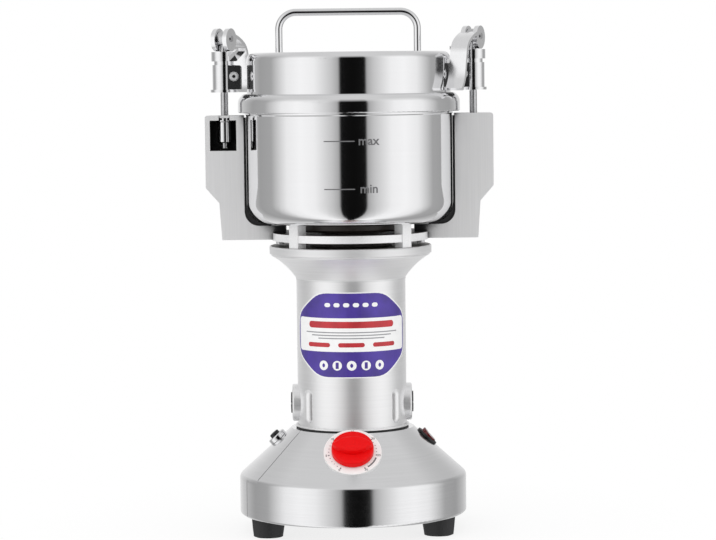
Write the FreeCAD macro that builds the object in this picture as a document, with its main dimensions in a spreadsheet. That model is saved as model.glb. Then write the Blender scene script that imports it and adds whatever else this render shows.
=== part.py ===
import FreeCAD, Part
import Sketcher
import math
import os
from types import SimpleNamespace

# Electric grain mill: sheet-metal base, motor column, steel bowl, lid and two swing clamps.
# Millimetres, +Z up, origin on the floor under the motor axis; -Y is the front with the dial.

SIZES = {
    # base
    "base_radius": 94.0,
    "base_low": 15.0,
    "rim_high": 47.0,
    "cone_radius": 50.7,
    "cone_high": 86.0,
    "shell": 1.5,
    "rim_lip": 5.0,
    "plate_thick": 2.0,
    "foot_radius": 14.5,
    "foot_taper": 12.0,
    "foot_side": 70.0,
    "foot_front": 34.0,
    "gland_radius": 7.0,
    "gland_bore": 3.6,
    "gland_height": 31.0,
    # dial, knob, switch and reset button
    "dial_radius": 23.5,
    "dial_thick": 0.8,
    "dial_slope": 20.0,
    "knob_radius": 17.1,
    "knob_tall": 11.0,
    "grip_deep": 5.0,
    "spindle_radius": 3.0,
    "timer_side": 34.0,
    "timer_deep": 17.0,
    "control_slope": 14.5,
    "switch_radius": 9.6,
    "rocker_radius": 7.8,
    "rocker_tilt": 9.0,
    "reset_radius": 7.85,
    "reset_tall": 4.0,
    "button_radius": 4.2,
    # column and motor
    "column_radius": 45.1,
    "column_wall": 1.6,
    "column_low": 88.5,
    "column_high": 209.0,
    "gasket_radius": 46.6,
    "boss_radius": 15.4,
    "boss_face": 49.5,
    "brush_high": 106.2,
    "cap_radius": 8.6,
    "cap_proud": 1.2,
    "louvre_low": 91.0,
    "louvre_high": 120.4,
    "louvre_radius": 5.6,
    "louvre_proud": 3.0,
    "louvre_angle": 53.0,
    "flange_radius": 67.0,
    "flange_low": 229.0,
    "flange_high": 237.0,
    "core_low": 130.0,
    "core_high": 168.0,
    "core_bore": 25.0,
    "armature_radius": 24.3,
    "commutator_radius": 12.5,
    "shaft_radius": 4.0,
    "running_gap": 0.03,
    "bearing_radius": 11.0,
    "bearing_tall": 7.0,
    "lower_bearing": 83.5,
    "upper_bearing": 226.0,
    "fan_radius": 38.0,
    # support and bowl
    "post_radius": 62.0,
    "post_wide": 10.0,
    "ring_low": 241.6,
    "ring_high": 247.8,
    "ring_radius": 64.5,
    "bowl_radius": 85.0,
    "bowl_wall": 1.5,
    "bowl_low": 256.0,
    "bowl_round": 17.0,
    "collar_low": 347.0,
    "collar_high": 361.0,
    "collar_radius": 91.5,
    "blade_low": 266.0,
    "blade_reach": 70.0,
    # lid and handle
    "lid_radius": 84.0,
    "lid_high": 396.0,
    "lid_low": 348.1,
    "lid_round": 6.0,
    "lid_wall": 1.2,
    "handle_rod": 3.0,
    "handle_span": 57.0,
    "handle_high": 429.0,
    "handle_bend": 14.0,
    # brackets
    "bracket_outer": 118.5,
    "bracket_inner": 86.8,
    "bracket_deep": 21.0,
    "bracket_wall": 2.0,
    "bracket_high": 345.0,
    "bracket_kink": 285.5,
    "bracket_waist": 273.0,
    "bracket_low": 242.5,
    "foot_thick": 11.5,
    "bracket_foot": 53.0,
    "bracket_screw": 58.0,
    "screw_radius": 1.9,
    "window_low": 316.0,
    "window_high": 341.0,
    # clamps
    "post_place": 102.6,
    "rod_radius": 3.0,
    "rod_low": 318.0,
    "pin_high": 408.0,
    "barrel_radius": 9.5,
    "barrel_low": 364.0,
    "barrel_high": 389.5,
    "press_gap": 0.35,
    "block_face": 14.2,
    "block_wide": 20.0,
    "block_bolt": 1.5,
    "bolt_place": 8.6,
    "bolt_head": 4.0,
    "ear_radius": 9.5,
    "cam_throw": 1.0,
    "head_turn": 24.0,
    "eye_half": 3.2,
    "ear_gap": 3.5,
    "lever_half": 7.2,
    "lever_thick": 3.0,
    "claw_reach": 22.3,
    "claw_wide": 8.0,
    "claw_turn": 45.0,
}

SCREW_SIDES = (-5.0, 5.0)
CONE_ANGLE = math.degrees(math.atan2(SIZES["cone_high"] - SIZES["rim_high"],
                                     SIZES["base_radius"] - SIZES["cone_radius"]))

doc = FreeCAD.newDocument("GrainMill")
sheet = doc.addObject("Spreadsheet::Sheet", "Sizes")
for row, (name, value) in enumerate(SIZES.items(), start=1):
    sheet.set(f"A{row}", name)
    sheet.set(f"B{row}", str(value))
    sheet.setAlias(f"B{row}", name)
doc.recompute()


class Size:
    """A length together with the sheet expression that gives it."""

    def __init__(self, value, text):
        self.value = float(value)
        self.text = text

    def join(self, other, sign, value):
        text = other.text if isinstance(other, Size) else f"{other:.6f}"
        return Size(value, f"({self.text} {sign} ({text}))")

    def __add__(self, other):
        return self.join(other, "+", self.value + number(other))

    def __sub__(self, other):
        return self.join(other, "-", self.value - number(other))

    def __mul__(self, other):
        return self.join(other, "*", self.value * number(other))

    def __truediv__(self, other):
        return self.join(other, "/", self.value / number(other))

    def __neg__(self):
        return Size(-self.value, f"(-1 * {self.text})")

    __radd__ = __add__
    __rmul__ = __mul__


def number(value):
    return value.value if isinstance(value, Size) else float(value)


d = SimpleNamespace(**{name: Size(value, f"Sizes.{name}") for name, value in SIZES.items()})
nodes = {}


# Helpers that make bodies, sketches and features bound to the sheet

def bind(obj, prop, size):
    """Give a property its number and, where it comes from the sheet, its expression."""
    if isinstance(size, Size):
        obj.setExpression(prop, size.text)
    else:
        setattr(obj, prop, size)


def body(label):
    part = doc.addObject("PartDesign::Body", label)
    part.Label = label
    nodes[label] = part
    return part


def keep(obj, label):
    """Name a finished primitive or boolean as a sub-part."""
    obj.Label = label
    nodes[label] = obj
    return obj


def sketch(part, plane="XZ_Plane", offset=0.0, turn=0.0):
    """An empty sketch on one of the body's own planes, moved along its normal by offset."""
    flat = next(f for f in part.Origin.OriginFeatures if f.Role == plane)
    made = part.newObject("Sketcher::SketchObject", part.Name + "_sketch")
    made.AttachmentSupport = [(flat, "")]
    made.MapMode = "FlatFace"
    made.AttachmentOffset = FreeCAD.Placement(
        FreeCAD.Vector(0, 0, number(offset)), FreeCAD.Rotation(FreeCAD.Vector(0, 0, 1), turn))
    if isinstance(offset, Size):
        made.setExpression("AttachmentOffset.Base.z", offset.text)
    return made


def place_point(made, geo, pos, x, y):
    """Hold one sketch point at (x, y) by distances from the origin, or on an axis where they are 0."""
    for kind, size, axis in (("DistanceX", x, -2), ("DistanceY", y, -1)):
        if number(size) == 0:
            made.addConstraint(Sketcher.Constraint("PointOnObject", geo, pos, axis))
            continue
        index = made.addConstraint(Sketcher.Constraint(kind, -1, 1, geo, pos, number(size)))
        if isinstance(size, Size):
            made.setExpression(f"Constraints[{index}]", size.text)


def outline(made, points):
    """A closed outline. A point is (x, y) or (x, y, radius): then an arc of that radius leads to it,
    turning left for a positive radius and right for a negative one."""
    spots = [FreeCAD.Vector(number(p[0]), number(p[1]), 0) for p in points]
    first = made.GeometryCount
    for i, point in enumerate(points):
        start = spots[i - 1]
        end = spots[i]
        if len(point) == 3:
            made.addGeometry(arc_between(start, end, number(point[2])))
        else:
            made.addGeometry(Part.LineSegment(start, end))
    for i, point in enumerate(points):
        here = first + i
        after = first + (i + 1) % len(points)
        left = len(point) == 3 and number(point[2]) < 0
        following = points[(i + 1) % len(points)]
        next_left = len(following) == 3 and number(following[2]) < 0
        end_pos = 1 if left else 2
        start_pos = 2 if next_left else 1
        made.addConstraint(Sketcher.Constraint("Coincident", here, end_pos, after, start_pos))
        place_point(made, here, end_pos, point[0], point[1])
        if len(point) == 3:
            radius = point[2] if number(point[2]) > 0 else -point[2]
            index = made.addConstraint(Sketcher.Constraint("Radius", here, number(radius)))
            if isinstance(radius, Size):
                made.setExpression(f"Constraints[{index}]", radius.text)


def arc_between(start, end, radius):
    chord = end - start
    middle = (start + end) * 0.5
    rise = math.sqrt(max(radius * radius - chord.Length ** 2 / 4, 0.0))
    side = FreeCAD.Vector(-chord.y, chord.x, 0).normalize()
    sign = 1 if radius > 0 else -1
    centre = middle + side * (rise * sign)
    begin = math.atan2(start.y - centre.y, start.x - centre.x)
    finish = math.atan2(end.y - centre.y, end.x - centre.x)
    ring = Part.Circle(centre, FreeCAD.Vector(0, 0, 1), abs(radius))
    if radius > 0:
        return Part.ArcOfCircle(ring, begin, finish)
    return Part.ArcOfCircle(ring, finish, begin)


def circle(made, x, y, radius):
    spot = FreeCAD.Vector(number(x), number(y), 0)
    geo = made.addGeometry(Part.Circle(spot, FreeCAD.Vector(0, 0, 1), number(radius)))
    index = made.addConstraint(Sketcher.Constraint("Radius", geo, number(radius)))
    if isinstance(radius, Size):
        made.setExpression(f"Constraints[{index}]", radius.text)
    if number(x) == 0 and number(y) == 0:
        made.addConstraint(Sketcher.Constraint("Coincident", geo, 3, -1, 1))
    else:
        place_point(made, geo, 3, x, y)


def box_points(x0, y0, x1, y1):
    return [(x0, y0), (x1, y0), (x1, y1), (x0, y1)]


def feature(part, kind, made, **settings):
    made.Visibility = False
    shape = part.newObject("PartDesign::" + kind, part.Name + "_" + kind)
    shape.Profile = made
    for name, value in settings.items():
        bind(shape, name, value)
    doc.recompute()
    return shape


def revolve(part, points, plane="XZ_Plane"):
    made = sketch(part, plane)
    outline(made, points)
    return feature(part, "Revolution", made, ReferenceAxis=(made, ["V_Axis"]), Angle=360.0)


def groove(part, points, plane="XZ_Plane"):
    made = sketch(part, plane)
    outline(made, points)
    return feature(part, "Groove", made, ReferenceAxis=(made, ["V_Axis"]), Angle=360.0)


def pad(part, made, length, both=False, back=False):
    return feature(part, "Pad", made, Length=length, Midplane=both, Reversed=back)


def pocket(part, made, length, both=False, back=False):
    """Cut a pocket and make sure that it took something away."""
    before = part.Shape.Volume
    cut = feature(part, "Pocket", made, Length=length, Midplane=both, Reversed=back)
    if part.Shape.Volume > before - 1e-3:
        raise RuntimeError("a pocket cut nothing in " + part.Label)
    return cut


def rings(shape, radius, height):
    """Names of the circular edges about Z with this radius at this height."""
    found = []
    for i, edge in enumerate(shape.Edges, start=1):
        curve = edge.Curve
        if curve.TypeId != "Part::GeomCircle":
            continue
        if abs(curve.Radius - number(radius)) < 0.02 and abs(curve.Center.z - number(height)) < 0.02:
            found.append(f"Edge{i}")
    return found


def edges_where(shape, test):
    return [f"Edge{i}" for i, edge in enumerate(shape.Edges, start=1) if test(edge)]


def soften(part, base, names, radius, kind="Fillet"):
    """Fillet or chamfer the named edges of the last feature."""
    if not names:
        raise RuntimeError("no edge to round in " + part.Label)
    shape = part.newObject("PartDesign::" + kind, part.Name + "_" + kind)
    shape.Base = (base, names)
    bind(shape, "Radius" if kind == "Fillet" else "Size", radius)
    doc.recompute()
    return shape


def repeat(part, shape, count, axis="V_Axis"):
    """A polar pattern of one feature about the body's Z axis."""
    pattern = part.newObject("PartDesign::PolarPattern", part.Name + "_pattern")
    pattern.Originals = [shape]
    upright = next(f for f in part.Origin.OriginFeatures if f.Role == "Z_Axis")
    pattern.Axis = (upright, [""])
    pattern.Angle = 360.0
    pattern.Occurrences = count
    part.Tip = pattern
    doc.recompute()
    return pattern


def cylinder(name, radius, height, place=(0, 0, 0), axis=(0, 0, 1)):
    made = doc.addObject("Part::Cylinder", name)
    bind(made, "Radius", radius)
    bind(made, "Height", height)
    seat(made, place, axis)
    return made


def block(name, length, width, height, place):
    made = doc.addObject("Part::Box", name)
    bind(made, "Length", length)
    bind(made, "Width", width)
    bind(made, "Height", height)
    seat(made, place)
    return made


def seat(made, place, axis=(0, 0, 1), turn=None):
    """Placement of an object: its base from sizes, its Z axis along a direction."""
    rotation = turn or FreeCAD.Rotation(FreeCAD.Vector(0, 0, 1), FreeCAD.Vector(*axis))
    made.Placement = FreeCAD.Placement(FreeCAD.Vector(*[number(v) for v in place]), rotation)
    for letter, size in zip("xyz", place):
        if isinstance(size, Size):
            made.setExpression(f"Placement.Base.{letter}", size.text)


def join(kind, name, parts):
    """Part::MultiFuse or Part::Cut of the named objects."""
    made = doc.addObject("Part::" + kind, name)
    if kind == "Cut":
        made.Base, made.Tool = parts
    else:
        made.Shapes = parts
    doc.recompute()
    return made


def fused(name, parts):
    return join("MultiFuse", name, parts)


def cut(name, base, tool):
    return join("Cut", name, [base, tool])


def group(name, parts):
    made = doc.addObject("Part::Compound", name)
    made.Links = parts
    doc.recompute()
    return made


# The sloping face of the base carries the controls

def cone_placement(azimuth, slope):
    """On the base cone, this far down the slope, with Z along the face's outward normal."""
    lean = math.radians(CONE_ANGLE)
    radius = SIZES["cone_radius"] + number(slope) * math.cos(lean)
    height = SIZES["cone_high"] - number(slope) * math.sin(lean)
    spin = FreeCAD.Rotation(FreeCAD.Vector(0, 0, 1), azimuth)
    tip = FreeCAD.Rotation(FreeCAD.Vector(0, 1, 0), CONE_ANGLE)
    place = spin.multVec(FreeCAD.Vector(radius, 0, height))
    return FreeCAD.Placement(place, spin.multiply(tip))


def cone_hole(base, azimuth, slope, radius, name):
    """A round hole through the base shell, square to its slope."""
    tool = doc.addObject("Part::Cylinder", name)
    bind(tool, "Radius", radius)
    tool.Height = 12
    tool.Placement = cone_placement(azimuth, slope).multiply(
        FreeCAD.Placement(FreeCAD.Vector(0, 0, -8), FreeCAD.Rotation()))
    return cut(name + "_cut", base, tool)


# Base

def base_shell():
    part = body("base_sheet")
    inner = d.base_radius - d.shell
    neck = d.cone_radius - d.shell
    revolve(part, [
        (d.base_radius - d.rim_lip, d.base_low),
        (d.base_radius - 2.5, d.base_low),
        (d.base_radius, d.base_low + 2.5, 2.5),
        (d.base_radius, d.rim_high - 2.2),
        (d.base_radius - 1.6, d.rim_high + 1.44, 4.9),
        (d.cone_radius, d.cone_high),
        (d.cone_radius - 12, d.cone_high),
        (d.cone_radius - 12, d.cone_high - d.shell),
        (neck + 0.9, d.cone_high - d.shell),
        (inner - 1.2, d.rim_high + 0.4),
        (inner, d.rim_high - 2.2, -3.6),
        (inner, d.base_low + d.shell + 1.0),
        (inner - 1.0, d.base_low + d.shell, -1.0),
        (d.base_radius - d.rim_lip, d.base_low + d.shell),
    ])
    nodes.pop("base_sheet")
    shell = cone_hole(part, -90, d.dial_slope, d.spindle_radius + 2.5, "dial_hole")
    shell = cone_hole(shell, 0, d.control_slope, d.switch_radius - 1.2, "switch_hole")
    shell = cone_hole(shell, 180, d.control_slope, d.button_radius + 2.2, "reset_hole")
    gland = cylinder("gland_hole", d.gland_radius - 1.2, 20, (0, d.base_radius - 12, d.gland_height), (0, 1, 0))
    shell = cut("gland_hole_cut", shell, gland)
    lap = lap_seam()
    keep(cut("base_shell", shell, lap), "base_shell")


def lap_seam():
    """The sheet's lap: a shallow line down the cone and, further round, down the rim."""
    wide = 0.7
    deep = 0.6
    slope = SIZES["base_radius"] - SIZES["cone_radius"]
    run = math.hypot(slope, SIZES["cone_high"] - SIZES["rim_high"])
    line = block("lap_line", run + 2, wide, 2 * deep, (0, 0, 0))
    line.Placement = cone_placement(-147, 0).multiply(
        FreeCAD.Placement(FreeCAD.Vector(-1, -wide / 2, -deep), FreeCAD.Rotation()))
    drop = block("lap_drop", 2 * deep, wide, d.rim_high - d.base_low + 2, (0, 0, 0))
    spin = FreeCAD.Placement(FreeCAD.Vector(0, 0, 0), FreeCAD.Rotation(FreeCAD.Vector(0, 0, 1), -158))
    drop.Placement = spin.multiply(FreeCAD.Placement(
        FreeCAD.Vector(SIZES["base_radius"] - deep, -wide / 2, SIZES["base_low"]), FreeCAD.Rotation()))
    return fused("lap_seam", [line, drop])


def base_plate():
    """Pressed steel floor with a stiffening step and four foot screws' holes."""
    part = body("base_plate")
    low = d.base_low + d.shell
    edge = d.base_radius - d.shell - 1.4
    revolve(part, [
        (0, low), (edge, low), (edge, low + d.plate_thick), (50, low + d.plate_thick),
        (48, low + d.plate_thick + 2), (0, low + d.plate_thick + 2),
    ])
    holes = sketch(part, "XY_Plane", low)
    for x, y in foot_places():
        circle(holes, x, y, 2.2)
    pocket(part, holes, 6, back=True)


def foot_places():
    side, front = d.foot_side, d.foot_front
    return [(-side, -front), (side, -front), (-side, front), (side, front)]


def rubber_feet():
    high = d.base_low + d.shell
    feet = []
    for index, (x, y) in enumerate(foot_places()):
        cone = doc.addObject("Part::Cone", f"foot_cone_{index}")
        bind(cone, "Radius1", d.foot_taper)
        bind(cone, "Radius2", d.foot_radius)
        bind(cone, "Height", high)
        seat(cone, (x, y, 0))
        hole = cylinder(f"foot_hole_{index}", 4.5, 9.0, (x, y, -1))
        neck = cylinder(f"foot_neck_{index}", 2.2, 30.0, (x, y, 0))
        hole = fused(f"foot_bore_{index}", [hole, neck])
        lip = d.base_radius - d.rim_lip
        feet.append(cut(f"foot_{index}", cone, hole))
        feet[-1] = trim_inside(feet[-1], lip, index)
    keep(group("rubber_feet", feet), "rubber_feet")


def trim_inside(foot, radius, index):
    """Keep the foot's upper edge inside the rim's turned lip."""
    keeper = cylinder(f"foot_keeper_{index}", radius - 0.05, 60)
    inner = doc.addObject("Part::MultiCommon", f"foot_trim_{index}")
    inner.Shapes = [foot, keeper]
    doc.recompute()
    return inner


def foot_screws():
    screws = []
    for index, (x, y) in enumerate(foot_places()):
        head = cylinder(f"screw_head_{index}", 4.4, 3.0, (x, y, 5.0))
        stem = cylinder(f"screw_stem_{index}", 2.15, 16.0, (x, y, 7.5))
        screws.append(fused(f"foot_screw_{index}", [head, stem]))
    keep(group("foot_screws", screws), "foot_screws")


def cord_gland():
    """Moulded bush for the supply cable at the back of the rim."""
    part = body("cord_gland")
    wall = d.base_radius
    revolve(part, [
        (d.gland_bore, -7), (d.gland_radius - 1.25, -7), (d.gland_radius - 1.25, 0),
        (d.gland_radius, 0), (d.gland_radius, 0.8), (d.gland_radius - 1.0, 1.6),
        (d.gland_bore + 0.4, 1.6), (d.gland_bore, 1.2),
    ])
    seat(part, (0, wall, d.gland_height), (0, 1, 0))


# Controls on the slope

def dial_plate():
    part = body("dial_disc")
    nodes.pop("dial_disc")
    deep = 3.4
    face = sketch(part, "XY_Plane", -deep)
    circle(face, 0, 0, d.dial_radius)
    circle(face, 0, 0, d.spindle_radius + 2.5)
    pad(part, face, d.dial_thick + deep)
    part.Placement = cone_placement(-90, d.dial_slope)
    slope = doc.addObject("Part::Cone", "dial_slope_face")
    bind(slope, "Radius1", d.base_radius)
    bind(slope, "Radius2", d.cone_radius)
    bind(slope, "Height", d.cone_high - d.rim_high)
    seat(slope, (0, 0, d.rim_high))
    column = cylinder("dial_column_face", d.gasket_radius + 0.3, 30, (0, 0, d.cone_high - 10))
    keep(cut("dial_plate", part, fused("dial_ground", [slope, column])), "dial_plate")


def timer_knob():
    """Round knob with a lens-shaped grip bar standing in a dished face."""
    part = body("timer_knob")
    low = d.dial_thick + 0.6
    face = low + d.knob_tall - d.grip_deep
    base = revolve(part, [
        (0, low), (d.knob_radius - 0.6, low), (d.knob_radius, low + 0.6), (d.knob_radius, face - 1.5),
        (d.knob_radius - 1.5, face, 1.5), (0, face - 1.2),
    ])
    grip = sketch(part, "XY_Plane", face - 2)
    reach = d.knob_radius - 0.9
    bow = 21.0
    outline(grip, [(0, reach, bow), (0, -reach, bow)])
    bar = pad(part, grip, d.grip_deep + 2)
    top = face + d.grip_deep
    upper = edges_where(bar.Shape, lambda e: abs(e.BoundBox.ZMin - number(top)) < 0.02)
    soften(part, bar, upper, 1.6)
    hole = sketch(part, "XY_Plane", low)
    circle(hole, 0, 0, d.spindle_radius)
    pocket(part, hole, 4.5, back=True)
    part.Placement = cone_placement(-90, d.dial_slope)


def timer_spindle():
    spindle = cylinder("timer_spindle", d.spindle_radius, 15, (0, 0, 0))
    spindle.Placement = cone_placement(-90, d.dial_slope).multiply(
        FreeCAD.Placement(FreeCAD.Vector(0, 0, -9.1), FreeCAD.Rotation()))
    keep(spindle, "timer_spindle")


def timer_body():
    """Clockwork timer under the slope, with a bushing that clamps it to the sheet."""
    part = body("timer_body")
    half = d.timer_side / 2
    case = sketch(part, "XY_Plane", -6.0)
    outline(case, box_points(-half, -half, half, half))
    pad(part, case, d.timer_deep, back=True)
    bush = sketch(part, "XY_Plane", -6.0)
    circle(bush, 0, 0, d.spindle_radius + 2.4)
    pad(part, bush, 6.0)
    bore = sketch(part, "XY_Plane", 0.0)
    circle(bore, 0, 0, d.spindle_radius + 0.05)
    pocket(part, bore, 9.3)
    part.Placement = cone_placement(-90, d.dial_slope)


def switch_housing():
    part = body("switch_housing")
    revolve(part, [
        (0, -18), (d.switch_radius - 1.25, -18), (d.switch_radius - 1.25, 0), (d.switch_radius, 0),
        (d.switch_radius, 1.2), (d.switch_radius - 0.6, 1.8, 0.6), (d.rocker_radius + 0.3, 1.8),
        (d.rocker_radius + 0.3, -8), (0, -8),
    ])
    part.Placement = cone_placement(0, d.control_slope)


def switch_rocker():
    """Round rocker on a cross pivot, pressed down on its outer side."""
    part = body("switch_rocker")
    made = sketch(part, "XY_Plane", -2.4)
    circle(made, 0, 0, d.rocker_radius - 0.9)
    disc = pad(part, made, 6.2)
    top = rings(disc.Shape, d.rocker_radius - 0.9, 3.8)
    soften(part, disc, top, 1.0)
    dish = sketch(part, "XZ_Plane")
    outline(dish, [(9, 3.2), (9, 9), (-9, 9), (-9, 3.2), (0, 2.5)])
    pocket(part, dish, 30, both=True)
    tilt = FreeCAD.Rotation(FreeCAD.Vector(0, 1, 0), SIZES["rocker_tilt"])
    part.Placement = cone_placement(0, d.control_slope).multiply(
        FreeCAD.Placement(FreeCAD.Vector(0, 0, 0.9), tilt))


def reset_collar():
    part = body("reset_collar")
    revolve(part, [
        (d.button_radius + 0.3, -9), (d.button_radius + 2.1, -9), (d.button_radius + 2.1, 0),
        (d.reset_radius, 0), (d.reset_radius, d.reset_tall - 1.2),
        (d.reset_radius - 1.2, d.reset_tall, 1.2), (d.button_radius + 0.3, d.reset_tall),
    ])
    part.Placement = cone_placement(180, d.control_slope)


def reset_button():
    part = body("reset_button")
    revolve(part, [
        (0, -6), (d.button_radius, -6), (d.button_radius, d.reset_tall + 1.6),
        (d.button_radius - 1.0, d.reset_tall + 2.6, 1.0), (0, d.reset_tall + 2.9),
    ])
    part.Placement = cone_placement(180, d.control_slope)


# Motor column

def column_gasket():
    part = body("column_gasket")
    revolve(part, [
        (d.column_radius - 6, d.cone_high), (d.gasket_radius, d.cone_high),
        (d.gasket_radius, d.column_low - 0.6), (d.gasket_radius - 0.6, d.column_low),
        (d.column_radius - 6, d.column_low),
    ])


def column_tube():
    """Motor tube with two brush bosses and four raised air louvres."""
    part = body("column_sleeve")
    inner = d.column_radius - d.column_wall
    revolve(part, [
        (inner, d.column_low), (d.column_radius, d.column_low),
        (d.column_radius, d.column_high), (inner, d.column_high),
    ])
    nodes.pop("column_sleeve")
    bosses = []
    for side in (-1, 1):
        start = d.column_radius - 7
        length = d.boss_face - d.column_radius + 7
        boss = cylinder(f"boss_{side + 1}", d.boss_radius, length,
                        (start * side, 0, d.brush_high), (side, 0, 0))
        rim = doc.addObject("Part::Fillet", f"boss_round_{side + 1}")
        rim.Base = boss
        doc.recompute()
        outer = [i for i, e in enumerate(boss.Shape.Edges, 1)
                 if abs(e.CenterOfMass.x - side * SIZES["boss_face"]) < 0.1 and e.Closed]
        rim.Edges = [(i, 1.5, 1.5) for i in outer]
        bosses.append(rim)
    louvres = [louvre(index, angle) for index, angle in enumerate(louvre_angles())]
    shell = fused("column_body", [part] + bosses + louvres)
    hollow = cylinder("column_hollow", inner, d.column_high - d.column_low + 2, (0, 0, d.column_low - 1))
    shell = cut("column_open", shell, hollow)
    bore = cylinder("brush_bore", d.cap_radius - 2.0, 130, (-65, 0, d.brush_high), (1, 0, 0))
    shell = cut("column_bored", shell, bore)
    recess = []
    for side in (-1, 1):
        place = ((d.boss_face - 4) * side, 0, d.brush_high)
        recess.append(cylinder(f"cap_recess_{side + 1}", d.cap_radius, 10, place, (side, 0, 0)))
    keep(cut("column_tube", shell, fused("cap_recesses", recess)), "column_tube")


def louvre_angles():
    angle = SIZES["louvre_angle"]
    return [-90 - angle, -90 + angle, 90 - angle, 90 + angle]


def louvre(index, angle):
    """A raised half-round rib with rounded ends."""
    lean = math.radians(angle)
    spot = SIZES["column_radius"] + SIZES["louvre_proud"] - SIZES["louvre_radius"]
    x = spot * math.cos(lean)
    y = spot * math.sin(lean)
    stem = cylinder(f"louvre_{index}", d.louvre_radius, d.louvre_high - d.louvre_low - 2 * d.louvre_radius,
                    (x, y, d.louvre_low + d.louvre_radius))
    ends = []
    for tag, height in (("low", d.louvre_low + d.louvre_radius), ("top", d.louvre_high - d.louvre_radius)):
        ball = doc.addObject("Part::Sphere", f"louvre_{tag}_{index}")
        bind(ball, "Radius", d.louvre_radius)
        seat(ball, (x, y, height))
        ends.append(ball)
    return fused(f"louvre_rib_{index}", [stem] + ends)


def brush_caps():
    caps = []
    for side in (-1, 1):
        place = ((d.boss_face - 4) * side, 0, d.brush_high)
        disc = cylinder(f"cap_disc_{side + 1}", d.cap_radius, d.cap_proud + 4, place, (side, 0, 0))
        place = ((d.boss_face + d.cap_proud - 1.0) * side, -d.cap_radius, d.brush_high - 0.7)
        slot = block(f"cap_slot_{side + 1}", 3, 2 * d.cap_radius, 1.4, place)
        if side < 0:
            slot.Placement.Base.x -= 3
            slot.setExpression("Placement.Base.x", f"-({(d.boss_face + d.cap_proud + 2.0).text})")
        caps.append(cut(f"brush_cap_{side + 1}", disc, slot))
    keep(group("brush_caps", caps), "brush_caps")


def brush_tubes():
    """Insulated brass guides that run in from the bosses towards the commutator."""
    tubes = []
    for side in (-1, 1):
        start = d.commutator_radius + 3.5
        length = d.boss_face - 4 - start
        outer = cylinder(f"guide_outer_{side + 1}", d.cap_radius - 2.0, length,
                         (start * side, 0, d.brush_high), (side, 0, 0))
        inner = cylinder(f"guide_inner_{side + 1}", 5.0, 60, ((start - 1) * side, 0, d.brush_high), (side, 0, 0))
        tubes.append(cut(f"guide_{side + 1}", outer, inner))
    keep(group("brush_tubes", tubes), "brush_tubes")


def carbon_brushes():
    brushes = []
    for side in (-1, 1):
        start = d.commutator_radius + 0.3
        brushes.append(cylinder(f"carbon_{side + 1}", 4.9, 16, (start * side, 0, d.brush_high), (side, 0, 0)))
    ring = cylinder("carbon_curve", d.commutator_radius + 0.3, 30, (0, 0, d.brush_high - 15))
    brushes = [cut(f"carbon_brush_{i}", brush, ring) for i, brush in enumerate(brushes)]
    keep(group("carbon_brushes", brushes), "carbon_brushes")


def column_flange():
    """Flared casting that widens the column to the bowl support."""
    part = body("column_flange")
    inner = d.column_radius - d.column_wall
    revolve(part, [
        (inner, d.column_high), (d.column_radius + 0.35, d.column_high),
        (d.column_radius + 0.35, d.column_high + 1.4),
        (d.flange_radius - 1.6, d.flange_low, -60.0),
        (d.flange_radius, d.flange_low + 1.6, -1.6),
        (d.flange_radius, d.flange_high - 1.0),
        (d.flange_radius - 1.0, d.flange_high, 1.0),
        (16, d.flange_high), (16, d.flange_high - 4), (d.bearing_radius, d.flange_high - 4),
        (d.bearing_radius, d.flange_high - 11), (8, d.flange_high - 11), (8, d.flange_high - 14),
        (20, d.flange_high - 14), (20, d.flange_high - 5), (60, d.flange_high - 5),
        (inner, d.column_high + 8),
    ])


def stator_core():
    part = body("stator_core")
    made = sketch(part, "XY_Plane", d.core_low)
    circle(made, 0, 0, d.column_radius - d.column_wall - 0.1)
    circle(made, 0, 0, d.core_bore)
    pad(part, made, d.core_high - d.core_low)


def stator_windings():
    """Two field coils, seen at each end of the stack as thick half rings."""
    halves = []
    for tag, low in (("low", d.core_low - 10), ("top", d.core_high)):
        for side in (-1, 1):
            outer = cylinder(f"coil_outer_{tag}_{side + 1}", 38.5, 10, (0, 0, low))
            inner = cylinder(f"coil_inner_{tag}_{side + 1}", 28.0, 12, (0, 0, low - 1))
            ring = cut(f"coil_ring_{tag}_{side + 1}", outer, inner)
            gap = block(f"coil_gap_{tag}_{side + 1}", 100, 60, 12, (-50, -52 if side > 0 else -8, low - 1))
            halves.append(cut(f"coil_{tag}_{side + 1}", ring, gap))
    keep(group("stator_windings", halves), "stator_windings")


def armature():
    """Laminated core with slots between wound ends."""
    part = body("armature")
    made = sketch(part, "XY_Plane", d.core_low)
    circle(made, 0, 0, d.armature_radius)
    circle(made, 0, 0, d.shaft_radius)
    pad(part, made, d.core_high - d.core_low)
    slot = sketch(part, "XY_Plane", d.core_low)
    outline(slot, box_points(d.armature_radius - 3, -0.9, d.armature_radius + 2, 0.9))
    first = pocket(part, slot, d.core_high - d.core_low, back=True)
    repeat(part, first, 12)
    for low in (d.core_low - 9, d.core_high):
        ends = sketch(part, "XY_Plane", low)
        circle(ends, 0, 0, d.armature_radius - 4)
        circle(ends, 0, 0, d.shaft_radius)
        pad(part, ends, 9)


def commutator():
    part = body("commutator")
    low = d.brush_high - 8
    made = sketch(part, "XY_Plane", low)
    circle(made, 0, 0, d.commutator_radius)
    circle(made, 0, 0, d.shaft_radius)
    pad(part, made, 15)


def motor_shaft():
    part = body("motor_shaft")
    revolve(part, [
        (0, 82), (d.shaft_radius, 82), (d.shaft_radius, 291), (d.shaft_radius - 1, 292), (0, 292),
    ])


def bearing(label, low):
    part = body(label)
    bore = d.shaft_radius + d.running_gap
    revolve(part, [
        (bore, low), (d.bearing_radius, low), (d.bearing_radius, low + d.bearing_tall),
        (bore, low + d.bearing_tall),
    ])


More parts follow.
